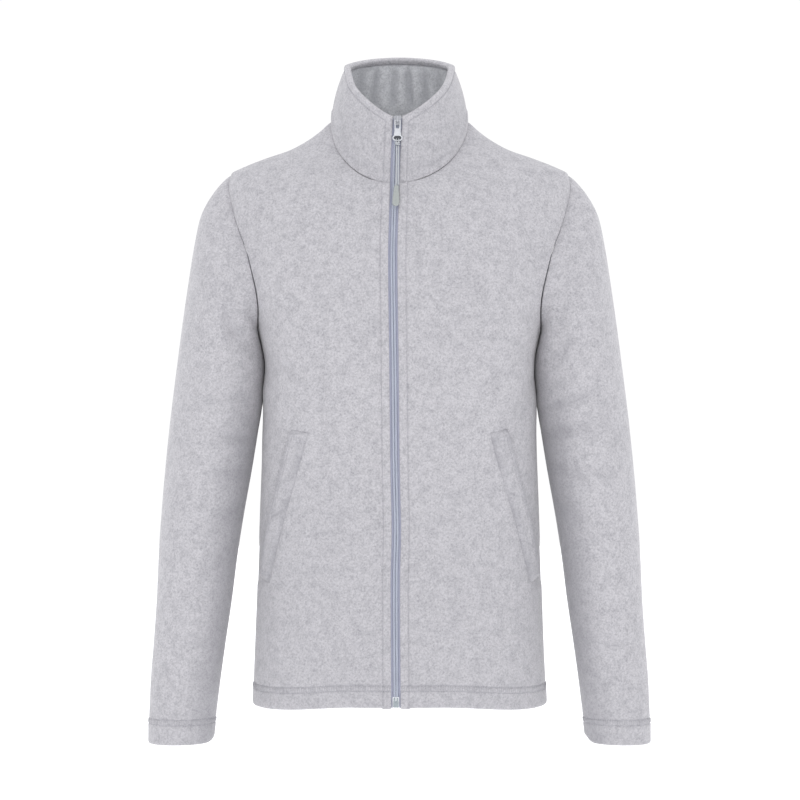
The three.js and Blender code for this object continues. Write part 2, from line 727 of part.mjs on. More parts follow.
function onCollar(mesh) {
  const rise = (SLIDER_TOP_Z - collarTop.z) * Math.tan(lean);
  mesh.position.set(zipX(SLIDER_TOP_Z), collarTop.y - rise, SLIDER_TOP_Z);
  mesh.rotation.x = lean;
  return mesh;
}

const frontPlate = { back: CHAIN_FRONT - SEAM_GAP, front: CHAIN_FRONT - SEAM_GAP - PLATE_WALL };
const backPlate = { front: CHAIN_BACK + 2 * SEAM_GAP, back: CHAIN_BACK + 2 * SEAM_GAP + PLATE_WALL };
const BRIDGE = { halfWidth: 1.3, top: -0.8, bottom: -8.8, room: 2.8, wall: 1 };
const HINGE = { y: frontPlate.front - BRIDGE.room / 2, z: BRIDGE.bottom + BRIDGE.wall + 1.1 };

function sliderSolid() {
  const half = SLIDER_WIDTH / 2;
  const plate = (faces) => {
    const outline = [
      [-half * 0.8, 0], [half * 0.8, 0], [half, -1.2], [half, -SLIDER_LENGTH * 0.45],
      [half * 0.86, -SLIDER_LENGTH], [-half * 0.86, -SLIDER_LENGTH],
      [-half, -SLIDER_LENGTH * 0.45], [-half, -1.2],
    ];
    const flat = new wasm.CrossSection([outline.slice().reverse()]);
    const turned = flat.extrude(faces.back - faces.front).rotate([90, 0, 0]);
    return turned.translate([0, faces.back, 0]);
  };
  const post = box([-1.2, frontPlate.front + 0.2, -4.2], [1.2, backPlate.back - 0.2, -0.8]);
  const outer = frontPlate.front - BRIDGE.room - BRIDGE.wall;
  const bridge = box(
    [-BRIDGE.halfWidth, outer, BRIDGE.bottom],
    [BRIDGE.halfWidth, frontPlate.front + 0.1, BRIDGE.top],
  );
  const room = box(
    [-5, frontPlate.front - BRIDGE.room, BRIDGE.bottom + BRIDGE.wall],
    [5, frontPlate.front, BRIDGE.top - BRIDGE.wall],
  );
  return plate(frontPlate).add(plate(backPlate)).add(post).add(bridge.subtract(room));
}
onCollar(meshNode('zip_slider', solidGeometry(sliderSolid()), 'metal'));

// The pull tab: a bar under the bridge, two prongs, a solid end and a ring for the cord
function tabSolid() {
  const half = TAB_WIDTH / 2;
  const wall = TAB_WALL / 2;
  const prongEnd = -9;
  const prongInner = BRIDGE.halfWidth + 0.7;
  const bar = barAlongX(wall, TAB_WIDTH);
  const prong = box([prongInner, -wall, prongEnd - 0.1], [half, wall, 0]);
  const body = box([-half, -wall, -TAB_LENGTH], [half, wall, prongEnd]);
  const ring = wasm.Manifold.cylinder(TAB_WALL, RING_WIDTH / 2, RING_WIDTH / 2, 32, true);
  const hole = wasm.Manifold.cylinder(
    TAB_WALL + 2, RING_WIDTH / 2 - RING_WIRE, RING_WIDTH / 2 - RING_WIRE, 32, true,
  );
  const squash = RING_HEIGHT / RING_WIDTH;
  const holeSquash = (RING_HEIGHT - 2 * RING_WIRE) / (RING_WIDTH - 2 * RING_WIRE);
  const loop = ring.scale([1, squash, 1]).subtract(hole.scale([1, holeSquash, 1]));
  const hung = loop.rotate([90, 0, 0]).translate([0, 0, -TAB_LENGTH - RING_HEIGHT / 2 + RING_WIRE * 0.6]);
  return bar.add(prong).add(prong.mirror([1, 0, 0])).add(body).add(hung);
}
const slider = group.getObjectByName('zip_slider');
slider.updateMatrix();
const hingePoint = new THREE.Vector3(0, HINGE.y, HINGE.z).applyMatrix4(slider.matrix);
const pullTab = meshNode('zip_pull', solidGeometry(tabSolid()), 'metal');
pullTab.position.copy(hingePoint);

// The cord hangs from the ring, hitched round it, and ends in a moulded grip on the chest
const ringFoot = hingePoint.clone();
ringFoot.z -= TAB_LENGTH + RING_HEIGHT - RING_WIRE * 0.6;
const HITCH = { halfWidth: 3, halfDepth: 1.9, height: 4.6 };
const hitch = box(
  [-HITCH.halfWidth, -HITCH.halfDepth, -HITCH.height - SEAM_GAP],
  [HITCH.halfWidth, HITCH.halfDepth, -SEAM_GAP],
);
ringFoot.y -= HITCH.halfDepth - TAB_WALL / 2;
meshNode('pull_hitch', solidGeometry(hitch), 'cord').position.copy(ringFoot);

const chestAt = (z, lift) => {
  const point = zipLine(z);
  return point.addScaledVector(bodyNormal(point), lift);
};
const GRIP_TOP_Z = -89;
const gripRest = GRIP_WALL / 2 + 1.2;
const gripTop = chestAt(GRIP_TOP_Z, gripRest);
const gripFoot = chestAt(GRIP_TOP_Z - GRIP_LENGTH * 0.93, gripRest);
gripTop.x = -3.6;
gripFoot.x = -4.6;
const gripDown = gripFoot.clone().sub(gripTop).normalize();
const gripMiddle = gripTop.clone().addScaledVector(gripDown, GRIP_LENGTH / 2);

function gripSolid() {
  const half = GRIP_WIDTH / 2;
  const outline = [];
  const corner = 2.6;
  [[1, 1], [-1, 1], [-1, -1], [1, -1]].forEach(([sx, sz], quarter) => {
    for (let i = 0; i <= 4; i += 1) {
      const turn = (Math.PI / 2) * (quarter + i / 4);
      const x = sx * (half - corner) + corner * Math.cos(turn);
      outline.push([x, sz * (GRIP_LENGTH / 2 - corner) + corner * Math.sin(turn)]);
    }
  });
  const slab = new wasm.CrossSection([outline]).extrude(GRIP_WALL, 0, 0, [1, 1], true);
  return slab.rotate([90, 0, 0]);
}
const grip = meshNode('pull_grip', solidGeometry(gripSolid()), 'grip');
grip.position.copy(gripMiddle);
grip.rotation.x = -Math.atan2(gripTop.y - gripFoot.y, gripTop.z - gripFoot.z);

function cordStrand(name, sideX) {
  const top = ringFoot.clone();
  top.x += sideX;
  top.z -= HITCH.height + 2 * SEAM_GAP;
  const foot = gripTop.clone().addScaledVector(gripDown, -2 * SEAM_GAP);
  foot.x = ringFoot.x - 0.4 + sideX;
  const line = new THREE.CatmullRomCurve3([
    top,
    top.clone().lerp(foot, 0.35).setY(top.y - 0.6),
    top.clone().lerp(foot, 0.75).setY(Math.min(top.y - 0.8, foot.y + 0.6)),
    foot,
  ]);
  const section = new THREE.Shape();
  section.absarc(0, 0, CORD_DIAMETER / 2, 0, 2 * Math.PI);
  const geometry = new THREE.ExtrudeGeometry(section, { steps: 10, curveSegments: 8, extrudePath: line });
  geometry.deleteAttribute('uv');
  geometry.deleteAttribute('normal');
  const welded = mergeVertices(geometry, 1e-4);
  welded.computeVertexNormals();
  meshNode(name, welded, 'cord');
}
cordStrand('pull_cord_left', 1.2);
cordStrand('pull_cord_right', -1.2);

// The separating box at the foot of the zip
const BOX = { halfWidth: 3.4, height: 11.5, front: -0.2, back: 3.4 };
const boxPoint = zipLine(HEM_Z + 0.6);
const footBox = box([-BOX.halfWidth, BOX.front, 0], [BOX.halfWidth, BOX.back, BOX.height]);
const footMesh = meshNode('zip_box', solidGeometry(footBox), 'coil');
footMesh.position.copy(wander(boxPoint));

export default group;
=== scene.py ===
"""A fleece zip jacket, filled out as if worn. The CAD's formulas are drawn again with finer steps."""
import math

import bmesh
import bpy
import numpy as np
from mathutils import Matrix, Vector


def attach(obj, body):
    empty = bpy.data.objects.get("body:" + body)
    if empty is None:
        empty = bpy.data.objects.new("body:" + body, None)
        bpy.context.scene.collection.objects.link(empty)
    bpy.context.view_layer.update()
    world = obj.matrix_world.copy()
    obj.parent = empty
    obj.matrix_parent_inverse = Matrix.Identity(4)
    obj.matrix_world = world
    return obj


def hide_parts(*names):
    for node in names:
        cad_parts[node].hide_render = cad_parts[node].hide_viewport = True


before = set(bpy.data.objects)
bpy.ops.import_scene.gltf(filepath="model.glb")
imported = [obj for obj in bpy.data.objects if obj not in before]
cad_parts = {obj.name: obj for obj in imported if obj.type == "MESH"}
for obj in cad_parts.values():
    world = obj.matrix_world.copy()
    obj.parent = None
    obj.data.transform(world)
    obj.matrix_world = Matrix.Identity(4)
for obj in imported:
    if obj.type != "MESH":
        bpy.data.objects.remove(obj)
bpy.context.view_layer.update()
scene = bpy.context.scene
MM = 0.001

# Sizes that the jacket is cut to, in millimetres, as in the part's source
CLOTH = 2.0
FOLDED_CLOTH = 3.6
SEAM_GAP = 0.3
EDGE = SEAM_GAP / 2
HEM_Z = -707.0
HEM_DEPTH = 27.0
ARMPIT_Z = -262.0
SHOULDER_TIP_Z = -66.0
ARMHOLE_HALF_DEPTH = 60.0
NECK_HALF_WIDTH = 83.0
NECK_DROP = 83.0
NAPE_RISE = 8.0
RING_POWER = 2.5
RIM_HALF_WIDTH = 64.5
RIM_FRONT_Y, RIM_SIDE_Y, RIM_BACK_Y = -84.0, 8.0, 60.0
RIM_FRONT_Z, RIM_SIDE_Z, RIM_BACK_Z = -4.5, 71.0, 87.0
RIM_BACK_POWER = 1.15
COLLAR_BULGE = 4.5
COLLAR_WALL = 4.4
COLLAR_FRONT_SHARE = 0.58
ZIP_HALF_OPENING = 6.0
TAPE_INNER_X = 3.7
TAPE_WALL = 0.6
TAPE_UNDER_CLOTH = 11.0
CHAIN_FRONT, CHAIN_BACK = 0.7, 2.9
ZIP_FOOT_Z = HEM_Z + 12.6
SLIDER_TOP_Z = -3.0
SLIDER_LENGTH = 11.5
SLIDER_WIDTH = 8.6
WELT_WIDTH = 25.0
WELT_SLANT = 5.0
WELT_LIFT = 0.6
SIDE_SHARE = (ARMPIT_Z - HEM_Z) / (ARMPIT_Z - HEM_Z + 1.17 * (SHOULDER_TIP_Z - ARMPIT_Z))

# Level rings of the body: height, half width, depth forward and depth back
BODY_RINGS = np.array([
    (-707, 180, 120, 112), (-589, 175, 116, 105), (-491, 171.6, 115, 101), (-380, 168, 118, 106),
    (-316, 167.5, 121, 114), (-262, 178, 122, 120), (-220, 190, 118, 122), (-170, 202, 109, 121),
    (-120, 212, 96, 115), (-90, 213, 82.5, 107), (-66, 207, 64, 98), (-57, 190.5, 56, 94.5),
    (-48, 168, 48, 90), (-36, 134, 38, 83), (-23, 111, 28, 75), (-12, 96.5, 19, 68),
    (-4, 88, 12, 62), (0, 83, 10, 60), (8, 79, 8, 56),
])
THROAT_RISE, THROAT_WIDTH, THROAT_HEIGHT, THROAT_Z = 7.0, 28.0, 30.0, -83.0
ZIP_WANDER = np.array([
    (-707, -4.2), (-560, -5), (-500, -3.8), (-420, -5.3), (-300, -6.5), (-170, -8), (-110, -6.5),
    (-45, -4.5), (-5, -2.4), (90, 0),
])
WANDER_WIDTH = 75.0

# Sections of the sleeve: outer edge x and z, inner edge x and z, half depth, and its middle's y
SLEEVE_ROWS = np.array([
    (207, -66, 178, -262, 60, 0), (216, -74, 178.4, -263.5, 61, -0.5), (230, -91, 177.8, -266.5, 62.5, -1),
    (244, -118, 176.2, -273, 64, -2), (252.5, -158, 173.6, -283, 65.5, -3),
    (259.5, -203, 170.3, -298, 66, -4), (266.5, -253, 168.6, -320, 65.5, -6),
    (273.5, -308, 168.6, -347, 64, -8), (280.5, -366, 174, -385, 62, -10),
    (286, -420, 181, -429, 59, -12), (290.5, -475, 190, -480, 56, -15), (294, -530, 198, -532, 52, -19),
    (296, -585, 204.5, -586, 48, -24), (299, -635, 211.5, -635.5, 44, -29),
    (302.5, -685, 218, -685, 40, -34), (304, -729, 223, -728, 36.5, -38),
    (304.3, -732, 223.3, -731, 36.3, -38.3), (304.5, -758.5, 225.4, -757, 34.5, -40),
])
MORPH_ROWS = 5.0
LAST_SLEEVE_ROW = 17.0
WELT_EDGE = np.array([(107, -383), (125, -446), (140, -496), (156.4, -563)])
WELT_TOP_Z, WELT_FOOT_Z = WELT_EDGE[0, 1], WELT_EDGE[-1, 1]

HEM_DIP = 6.8

# Where the sewing runs, in millimetres
HEM_STITCH_Z = (-687.2, -680.7)
CUFF_STITCH_RISE = (24.0, 30.5)
ZIP_STITCH_X = 15.3
RIM_STITCH_DROP = 9.5
BAND_HEIGHT = 17.0


def mix(a, b, share):
    return a + (b - a) * share


def smooth(low, high, value):
    t = np.clip((value - low) / (high - low), 0, 1)
    return t * t * (3 - 2 * t)


def ridge(value, middle, width):
    return np.exp(-(((value - middle) / width) ** 2))


def unit(vectors):
    return vectors / np.maximum(np.linalg.norm(vectors, axis=-1, keepdims=True), 1e-12)


def curve_through(xs, ys):
    """A smooth curve through points that never swings past them."""
    xs, ys = np.array(xs, float), np.array(ys, float)
    steps = np.diff(ys) / np.diff(xs)
    product, total = steps[:-1] * steps[1:], steps[:-1] + steps[1:]
    inner = np.where(product > 0, 2 * product / np.where(total == 0, 1, total), 0)
    slopes = np.concatenate([steps[:1], inner, steps[-1:]])

    def at(x):
        x = np.asarray(x, float)
        i = np.searchsorted(xs[1:-1], x, side="left")
        span = xs[i + 1] - xs[i]
        t = (x - xs[i]) / span
        leave, arrive = t * (1 - t) ** 2 * span, t * t * (t - 1) * span
        return mix(ys[i], ys[i + 1], t * t * (3 - 2 * t)) + leave * slopes[i] + arrive * slopes[i + 1]

    return at


half_width = curve_through(BODY_RINGS[:, 0], BODY_RINGS[:, 1])
front_depth = curve_through(BODY_RINGS[:, 0], BODY_RINGS[:, 2])
back_depth = curve_through(BODY_RINGS[:, 0], BODY_RINGS[:, 3])
zip_x = curve_through(ZIP_WANDER[:, 0], ZIP_WANDER[:, 1])
sleeve_column = [curve_through(range(len(SLEEVE_ROWS)), SLEEVE_ROWS[:, k]) for k in range(6)]
welt_x = curve_through(WELT_EDGE[::-1, 1], WELT_EDGE[::-1, 0])


def points_of(*parts):
    return np.stack(np.broadcast_arrays(*parts), -1).astype(float)


def depth_at(x, z, facing):
    bulge = ridge(x, 0, THROAT_WIDTH) * ridge(z, THROAT_Z, THROAT_HEIGHT)
    return np.where(facing > 0, back_depth(z), front_depth(z) + THROAT_RISE * bulge)


def body_at_x(x, z, facing):
    share = np.minimum(1, np.abs(x) / half_width(z))
    depth = depth_at(x, z, facing) * (1 - share ** RING_POWER) ** (1 / RING_POWER)
    return points_of(x, facing * depth, z)


def body_at_y(y, z, facing):
    share = np.minimum(1, np.abs(y) / depth_at(200, z, facing))
    return points_of(half_width(z) * (1 - share ** RING_POWER) ** (1 / RING_POWER), y, z)


def body_at_angle(angle, z, facing):
    x = half_width(z) * np.cos(angle) ** (2 / RING_POWER)
    return points_of(x, facing * depth_at(x, z, facing) * np.sin(angle) ** (2 / RING_POWER), z)


def reach_of(x, y, z, facing):
    across, forward = np.abs(x) / half_width(z), np.abs(y) / depth_at(x, z, facing)
    return (across ** RING_POWER + forward ** RING_POWER) ** (1 / RING_POWER)


def reach_slope(p, facing):
    h = 0.05
    x, y, z = p[..., 0], p[..., 1], p[..., 2]
    return points_of(
        reach_of(x + h, y, z, facing) - reach_of(x - h, y, z, facing),
        reach_of(x, y + h, z, facing) - reach_of(x, y - h, z, facing),
        reach_of(x, y, z + h, facing) - reach_of(x, y, z - h, facing),
    ) / (2 * h)


def body_normal(p):
    return unit(reach_slope(p, np.where(p[..., 1] < 0, -1, 1)))


def onto_body(p, facing, climb):
    """Moves points out to the body's face; with climb 0 they stay on their own level."""
    for _ in range(8):
        slope = reach_slope(p, facing)
        slope[..., 2] *= climb
        miss = 1 - reach_of(p[..., 0], p[..., 1], p[..., 2], facing)
        p = p + slope * (miss / np.maximum((slope ** 2).sum(-1), 1e-12))[..., None]
    return p


def armhole_point(turn, facing, grow):
    middle, reach = (SHOULDER_TIP_Z + ARMPIT_Z) / 2, (SHOULDER_TIP_Z - ARMPIT_Z) / 2 + grow
    sweep = ARMHOLE_HALF_DEPTH * (0.97 - 0.42 * np.cos(turn)) + grow
    return body_at_y(facing * sweep * np.sin(turn), middle + reach * np.cos(turn), facing)


def neck_point(share, facing, stop_x):
    turn = np.asarray(share, float) * math.acos(stop_x / NECK_HALF_WIDTH)
    x = NECK_HALF_WIDTH * np.cos(turn)
    z = -NECK_DROP * np.sin(turn) if facing < 0 else NAPE_RISE * np.sin(turn) ** 2
    return body_at_x(np.minimum(x, half_width(z)), z, facing)


def off_neck(share, facing, stop_x):
    """The way across the neck seam, away from the collar and along the body's face."""
    h = 0.02
    high = np.minimum(1, share + h)
    along = neck_point(high, facing, stop_x) - neck_point(np.maximum(0, high - 2 * h), facing, stop_x)
    point = neck_point(share, facing, stop_x)
    away = unit(np.cross(along, body_normal(point)))
    wrong = away[..., 0] * point[..., 0] + away[..., 1] * point[..., 1] - 40 * away[..., 2] < 0
    return np.where(wrong[..., None], -away, away)


def wander(p):
    """Slides the front's cloth sideways with the zip's wandering line."""
    near = ridge(p[..., 0], 0, WANDER_WIDTH) * smooth(0, 40, -p[..., 1])
    moved = p.copy()
    moved[..., 0] += zip_x(p[..., 2]) * near
    return moved


def dipped(p):
    """Lets the hem hang a little lower towards the side seams."""
    low = p.copy()
    low[..., 2] -= HEM_DIP * smooth(560, 690, -p[..., 2]) * smooth(50, 165, np.abs(p[..., 0]))
    return low


def flipped(p):
    return p * np.array([-1, 1, 1])


def on_side(side, *grids):
    """The grids as they are on the wearer's left, mirrored on the right."""
    return list(grids) if side > 0 else [flipped(grid) for grid in grids]


def of_side(kind, side):
    return kind + ("_left" if side > 0 else "_right")


def doubled(field):
    """A half's numbers and, past its last column, the same again in reverse."""
    return np.concatenate([field, field[:, -2::-1]], 1)


def both_halves(half):
    """A half's points and their mirror image, joined on the centre line."""
    return np.concatenate([flipped(half), half[:, -2::-1]], 1)


# Camera: level, straight at the front, three metres away
CAMERA_PLACE = (0.0006, -3.0, -0.343)
VIEW_WIDTH = 0.984
SENSOR = 36.0


def set_camera():
    data = bpy.data.cameras.new("camera")
    data.sensor_width = SENSOR
    data.lens = SENSOR * -CAMERA_PLACE[1] / VIEW_WIDTH
    data.clip_end = 60
    camera = bpy.data.objects.new("camera", data)
    camera.location = CAMERA_PLACE
    camera.rotation_euler = (math.pi / 2, 0, 0)
    scene.collection.objects.link(camera)
    scene.camera = camera


set_camera()


# Collar: share runs from the centre front (0) round the side to the centre back (1)
def rim_point(share):
    front_turn = np.clip(share / COLLAR_FRONT_SHARE, 0, 1) * math.pi / 2
    back_turn = np.clip((share - COLLAR_FRONT_SHARE) / (1 - COLLAR_FRONT_SHARE), 0, 1) * math.pi / 2
    f, b = np.sin(front_turn), np.sin(back_turn)
    front = points_of(
        RIM_HALF_WIDTH * f, mix(RIM_SIDE_Y, RIM_FRONT_Y, np.cos(front_turn)),
        mix(RIM_FRONT_Z, RIM_SIDE_Z, 0.7 * f ** 1.5 + 0.3 * f ** 12),
    )
    back = points_of(
        RIM_HALF_WIDTH * np.cos(back_turn), mix(RIM_SIDE_Y, RIM_BACK_Y, b),
        mix(RIM_SIDE_Z, RIM_BACK_Z, b ** RIM_BACK_POWER),
    )
    return np.where((share <= COLLAR_FRONT_SHARE)[..., None], front, back)


def collar_foot(share):
    front = neck_point(np.clip(1 - share / COLLAR_FRONT_SHARE, 0, 1), -1, 0)
    back = neck_point(np.clip((share - COLLAR_FRONT_SHARE) / (1 - COLLAR_FRONT_SHARE), 0, 1), 1, 0)
    return np.where((share <= COLLAR_FRONT_SHARE)[..., None], front, back)


def collar_point(share, height):
    share, height = np.broadcast_arrays(np.asarray(share, float), np.asarray(height, float))
    point = mix(collar_foot(share), rim_point(share), height[..., None])
    out = unit(points_of(point[..., 0], point[..., 1] + 10, 0 * height))
    bulge = COLLAR_BULGE * mix(0.3, 1, smooth(0, 0.3, share))
    return point + out * (bulge * np.abs(np.sin(np.pi * height)) ** 0.8)[..., None]


def collar_normal(share, height):
    share, height = np.broadcast_arrays(np.asarray(share, float), np.asarray(height, float))
    h = 0.01
    around = collar_point(np.minimum(1, share + h), height) - collar_point(np.maximum(0, share - h), height)
    up = collar_point(share, np.minimum(1, height + h)) - collar_point(share, np.maximum(0, height - h))
    normal = unit(np.cross(around, up))
    point = collar_point(share, height)
    wrong = normal[..., 0] * point[..., 0] + normal[..., 1] * (point[..., 1] + 10) < 0
    return np.where(wrong[..., None], -normal, normal)


def share_at_x(x, height):
    low = np.zeros_like(np.asarray(height, float))
    high = low + COLLAR_FRONT_SHARE
    for _ in range(30):
        middle = (low + high) / 2
        inside = collar_point(middle, height)[..., 0] < x
        low, high = np.where(inside, middle, low), np.where(inside, high, middle)
    return (low + high) / 2


# The slider and pull lie on the collar's front, which leans back by this angle
collar_top, collar_low = collar_point(0, 0.98), collar_point(0, 0.8)
LEAN = math.atan2(collar_low[1] - collar_top[1], collar_top[2] - collar_low[2])
SLIDER_PLACE = np.array([
    float(zip_x(SLIDER_TOP_Z)), collar_top[1] - (SLIDER_TOP_Z - collar_top[2]) * math.tan(LEAN), SLIDER_TOP_Z,
])
BRIDGE_ROOM, BRIDGE_BOTTOM, BRIDGE_WALL = 2.8, -8.8, 1.0
PLATE_WALL = 1.3
PLATE_FRONT = CHAIN_FRONT - SEAM_GAP - PLATE_WALL
HINGE_LOCAL = np.array([0, PLATE_FRONT - BRIDGE_ROOM / 2, BRIDGE_BOTTOM + BRIDGE_WALL + 1.1])


def on_collar(p):
    """From the flat zip's own frame to the leaning collar."""
    c, s = math.cos(LEAN), math.sin(LEAN)
    x, y, z = p[..., 0], p[..., 1], p[..., 2]
    return points_of(x, y * c - z * s, y * s + z * c) + SLIDER_PLACE


HINGE = on_collar(HINGE_LOCAL)
TAB_LENGTH, TAB_WALL, TAB_WIDTH, TAB_SLOT = 17.0, 1.6, 7.2, 4.7
RING_WIDTH, RING_HEIGHT, RING_WIRE = 12.4, 8.6, 1.7
HITCH_HALF_WIDTH, HITCH_HALF_DEPTH, HITCH_HEIGHT = 3.0, 1.9, 4.6
CORD_DIAMETER = 1.8
CORD_SPREAD = 1.2
GRIP_LENGTH, GRIP_WALL = 26.0, 4.6
GRIP_TOP_Z = -89.0
GRIP_TOP_X, GRIP_FOOT_X = -3.6, -4.6
RING_FOOT = HINGE + np.array([0, -(HITCH_HALF_DEPTH - TAB_WALL / 2), -(TAB_LENGTH + RING_HEIGHT - RING_WIRE * 0.6)])


def chest_at(z, lift):
    point = body_at_x(0.0, z, -1)
    return point + body_normal(point) * lift


def grip_ends():
    rest = GRIP_WALL / 2 + 1.2
    top, foot = chest_at(GRIP_TOP_Z, rest), chest_at(GRIP_TOP_Z - GRIP_LENGTH * 0.93, rest)
    top[0], foot[0] = GRIP_TOP_X, GRIP_FOOT_X
    return top, foot


GRIP_TOP, GRIP_FOOT = grip_ends()
GRIP_DOWN = unit(GRIP_FOOT - GRIP_TOP)


def spline_through(points, count):
    """A centripetal curve through points, as the CAD's cord follows."""
    points = np.array(points, float)
    padded_points = np.vstack([2 * points[0] - points[1], points, 2 * points[-1] - points[-2]])
    out = []
    for k in range(len(points) - 1):
        p0, p1, p2, p3 = padded_points[k:k + 4]
        knots = np.cumsum([0] + [np.linalg.norm(b - a) ** 0.5 for a, b in ((p0, p1), (p1, p2), (p2, p3))])
        last = k == len(points) - 2
        for t in np.linspace(knots[1], knots[2], count + (1 if last else 0), endpoint=last):
            a1 = mix(p0, p1, (t - knots[0]) / (knots[1] - knots[0]))
            a2 = mix(p1, p2, (t - knots[1]) / (knots[2] - knots[1]))
            a3 = mix(p2, p3, (t - knots[2]) / (knots[3] - knots[2]))
            b1 = mix(a1, a2, (t - knots[0]) / (knots[2] - knots[0]))
            b2 = mix(a2, a3, (t - knots[1]) / (knots[3] - knots[1]))
            out.append(mix(b1, b2, (t - knots[1]) / (knots[2] - knots[1])))
    return np.array(out)


def cord_route(side_x):
    """The strand's route, as in the part's source: down from the hitch and onto the chest."""
    top = RING_FOOT + np.array([side_x, 0, -(HITCH_HEIGHT + 2 * SEAM_GAP)])
    foot = GRIP_TOP - GRIP_DOWN * 2 * SEAM_GAP
    foot[0] = RING_FOOT[0] - 0.4 + side_x
    near, far = mix(top, foot, 0.35), mix(top, foot, 0.75)
    near[1] = top[1] - 0.6
    far[1] = min(top[1] - 0.8, foot[1] + 0.6)
    return spline_through([top, near, far, foot], 8)


# Mesh making
def add_mesh(name, points, faces, body="jacket"):
    mesh = bpy.data.meshes.new(name)
    mesh.from_pydata((np.asarray(points) * MM).tolist(), [], [tuple(f) for f in faces])
    mesh.polygons.foreach_set("use_smooth", [True] * len(mesh.polygons))
    piece = bpy.data.objects.new(name, mesh)
    scene.collection.objects.link(piece)
    if body:
        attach(piece, body)
    return piece


def signed_volume(points, faces):
    """Positive where a closed shell's faces point outwards."""
    faces = np.array([f[:3] for f in faces] + [(f[0], f[2], f[3]) for f in faces if len(f) == 4])
    a, b, c = points[faces[:, 0]], points[faces[:, 1]], points[faces[:, 2]]
    return float((a * np.cross(b, c)).sum())


def shell_faces(rows, columns, is_round):
    half = rows * columns
    index = np.arange(half).reshape(rows, columns)
    if is_round:
        index = np.concatenate([index, index[:, :1]], 1)
    a, b, c, d = index[:-1, :-1], index[:-1, 1:], index[1:, 1:], index[1:, :-1]
    quads = [np.stack([a, b, c, d], -1).reshape(-1, 4), np.stack([a, d, c, b], -1).reshape(-1, 4) + half]
    foot, top = index[0], index[-1]
    quads.append(np.stack([foot[1:], foot[:-1], foot[:-1] + half, foot[1:] + half], -1))
    quads.append(np.stack([top[:-1], top[1:], top[1:] + half, top[:-1] + half], -1))
    if not is_round:
        start, end = index[:, 0], index[:, -1]
        quads.append(np.stack([start[:-1], start[1:], start[1:] + half, start[:-1] + half], -1))
        quads.append(np.stack([end[1:], end[:-1], end[:-1] + half, end[1:] + half], -1))
    return np.concatenate(quads)


ARMHOLE_EASE, ARMHOLE_EASE_X, ARMHOLE_EASE_WIDTH = 5.5, 180, 24


def ease_armhole(points):
    """Draws the lower armhole in a little, so that its seam runs on straight into the gap below the arm."""
    x, z = points[..., 0], points[..., 2]
    near = ridge(np.abs(x), ARMHOLE_EASE_X, ARMHOLE_EASE_WIDTH) * smooth(-338, -285, z) * (1 - smooth(-240, -180, z))
    moved = points.copy()
    moved[..., 0] -= np.sign(x) * ARMHOLE_EASE * near
    return moved


def cloth_shell(name, outer, inner, shade, is_round=False, inner_shade=0.0, inner_tint=1.0):
    """A closed sheet between two faces; the shades are painted shade, how dark each point of a face is painted, and the
    inner face can be painted lighter, a painted light.
    """
    outer, inner = ease_armhole(outer), ease_armhole(inner)
    rows, columns = outer.shape[:2]
    points = np.concatenate([outer.reshape(-1, 3), inner.reshape(-1, 3)])
    faces = shell_faces(rows, columns, is_round)
    if signed_volume(points, faces) < 0:
        faces = faces[:, ::-1]
    piece = add_mesh(name, points, faces)
    both = np.concatenate([np.broadcast_to(value, (rows, columns)).ravel() for value in (shade, inner_shade)])
    # Painted shade: each point's share of the dark colour that stands in for shade at seams, creases and gaps between
    # parts
    attribute = piece.data.attributes.new("painted_shade", "FLOAT", "POINT")
    attribute.data.foreach_set("value", both.astype(np.float32))
    # Painted light: a share of the inner face's colour is brightened, lifting the cloth's inside where it lies in shade
    inside = piece.data.attributes.new("inside", "FLOAT", "POINT")
    tint = np.broadcast_to(inner_tint, (rows, columns)).ravel()
    inside.data.foreach_set("value", np.concatenate([0 * tint, tint]).astype(np.float32))
    return piece


def ring_faces(rings, sides, closed=False):
    """Quads between neighbouring rings of points; a closed run goes on from its last ring to its first."""
    faces = []
    for i in range(rings if closed else rings - 1):
        n = (i + 1) % rings
        for k in range(sides):
            m = (k + 1) % sides
            faces.append((i * sides + k, i * sides + m, n * sides + m, n * sides + k))
    return faces


def end_faces(total, sides):
    """One flat face on the first ring and one on the last."""
    return [tuple(range(sides)), tuple(range(total - 1, total - 1 - sides, -1))]


def rings_round(along, sides, squash, out):
    """Rings of unit size, square to a line and flattened by squash."""
    side = unit(np.cross(along, np.array(out, float)))
    up = np.cross(side, along)
    turns = np.arange(sides) * math.tau / sides
    return side[:, None] * np.cos(turns)[None, :, None] + up[:, None] * (squash * np.sin(turns))[None, :, None]


def tube(points, radius, sides=10, squash=1.0, out=(0, -1, 0)):
    """Points and faces of a tube along a line."""
    points = np.array(points, float)
    along = unit(np.gradient(points, axis=0))
    verts = (points[:, None] + rings_round(along, sides, squash, out) * radius).reshape(-1, 3)
    faces = ring_faces(len(points), sides)
    ends = len(verts)
    verts = np.vstack([verts, points[:1], points[-1:]])
    for k in range(sides):
        m = (k + 1) % sides
        faces.append((ends, m, k))
        faces.append((ends + 1, (len(points) - 1) * sides + k, (len(points) - 1) * sides + m))
    return verts, faces


def joined(parts):
    """Several meshes' points and faces as one."""
    verts, faces, base = [], [], 0
    for points, some in parts:
        verts.append(np.asarray(points))
        faces.extend(tuple(i + base for i in f) for f in some)
        base += len(points)
    return np.vstack(verts), faces


def outward(piece):
    """Turns every closed shell of a mesh to face outwards."""
    mesh = bmesh.new()
    mesh.from_mesh(piece.data)
    bmesh.ops.recalc_face_normals(mesh, faces=mesh.faces)
    mesh.to_mesh(piece.data)
    mesh.free()
    return piece


def paint(piece, material):
    piece.data.materials.clear()
    piece.data.materials.append(material)
    return piece


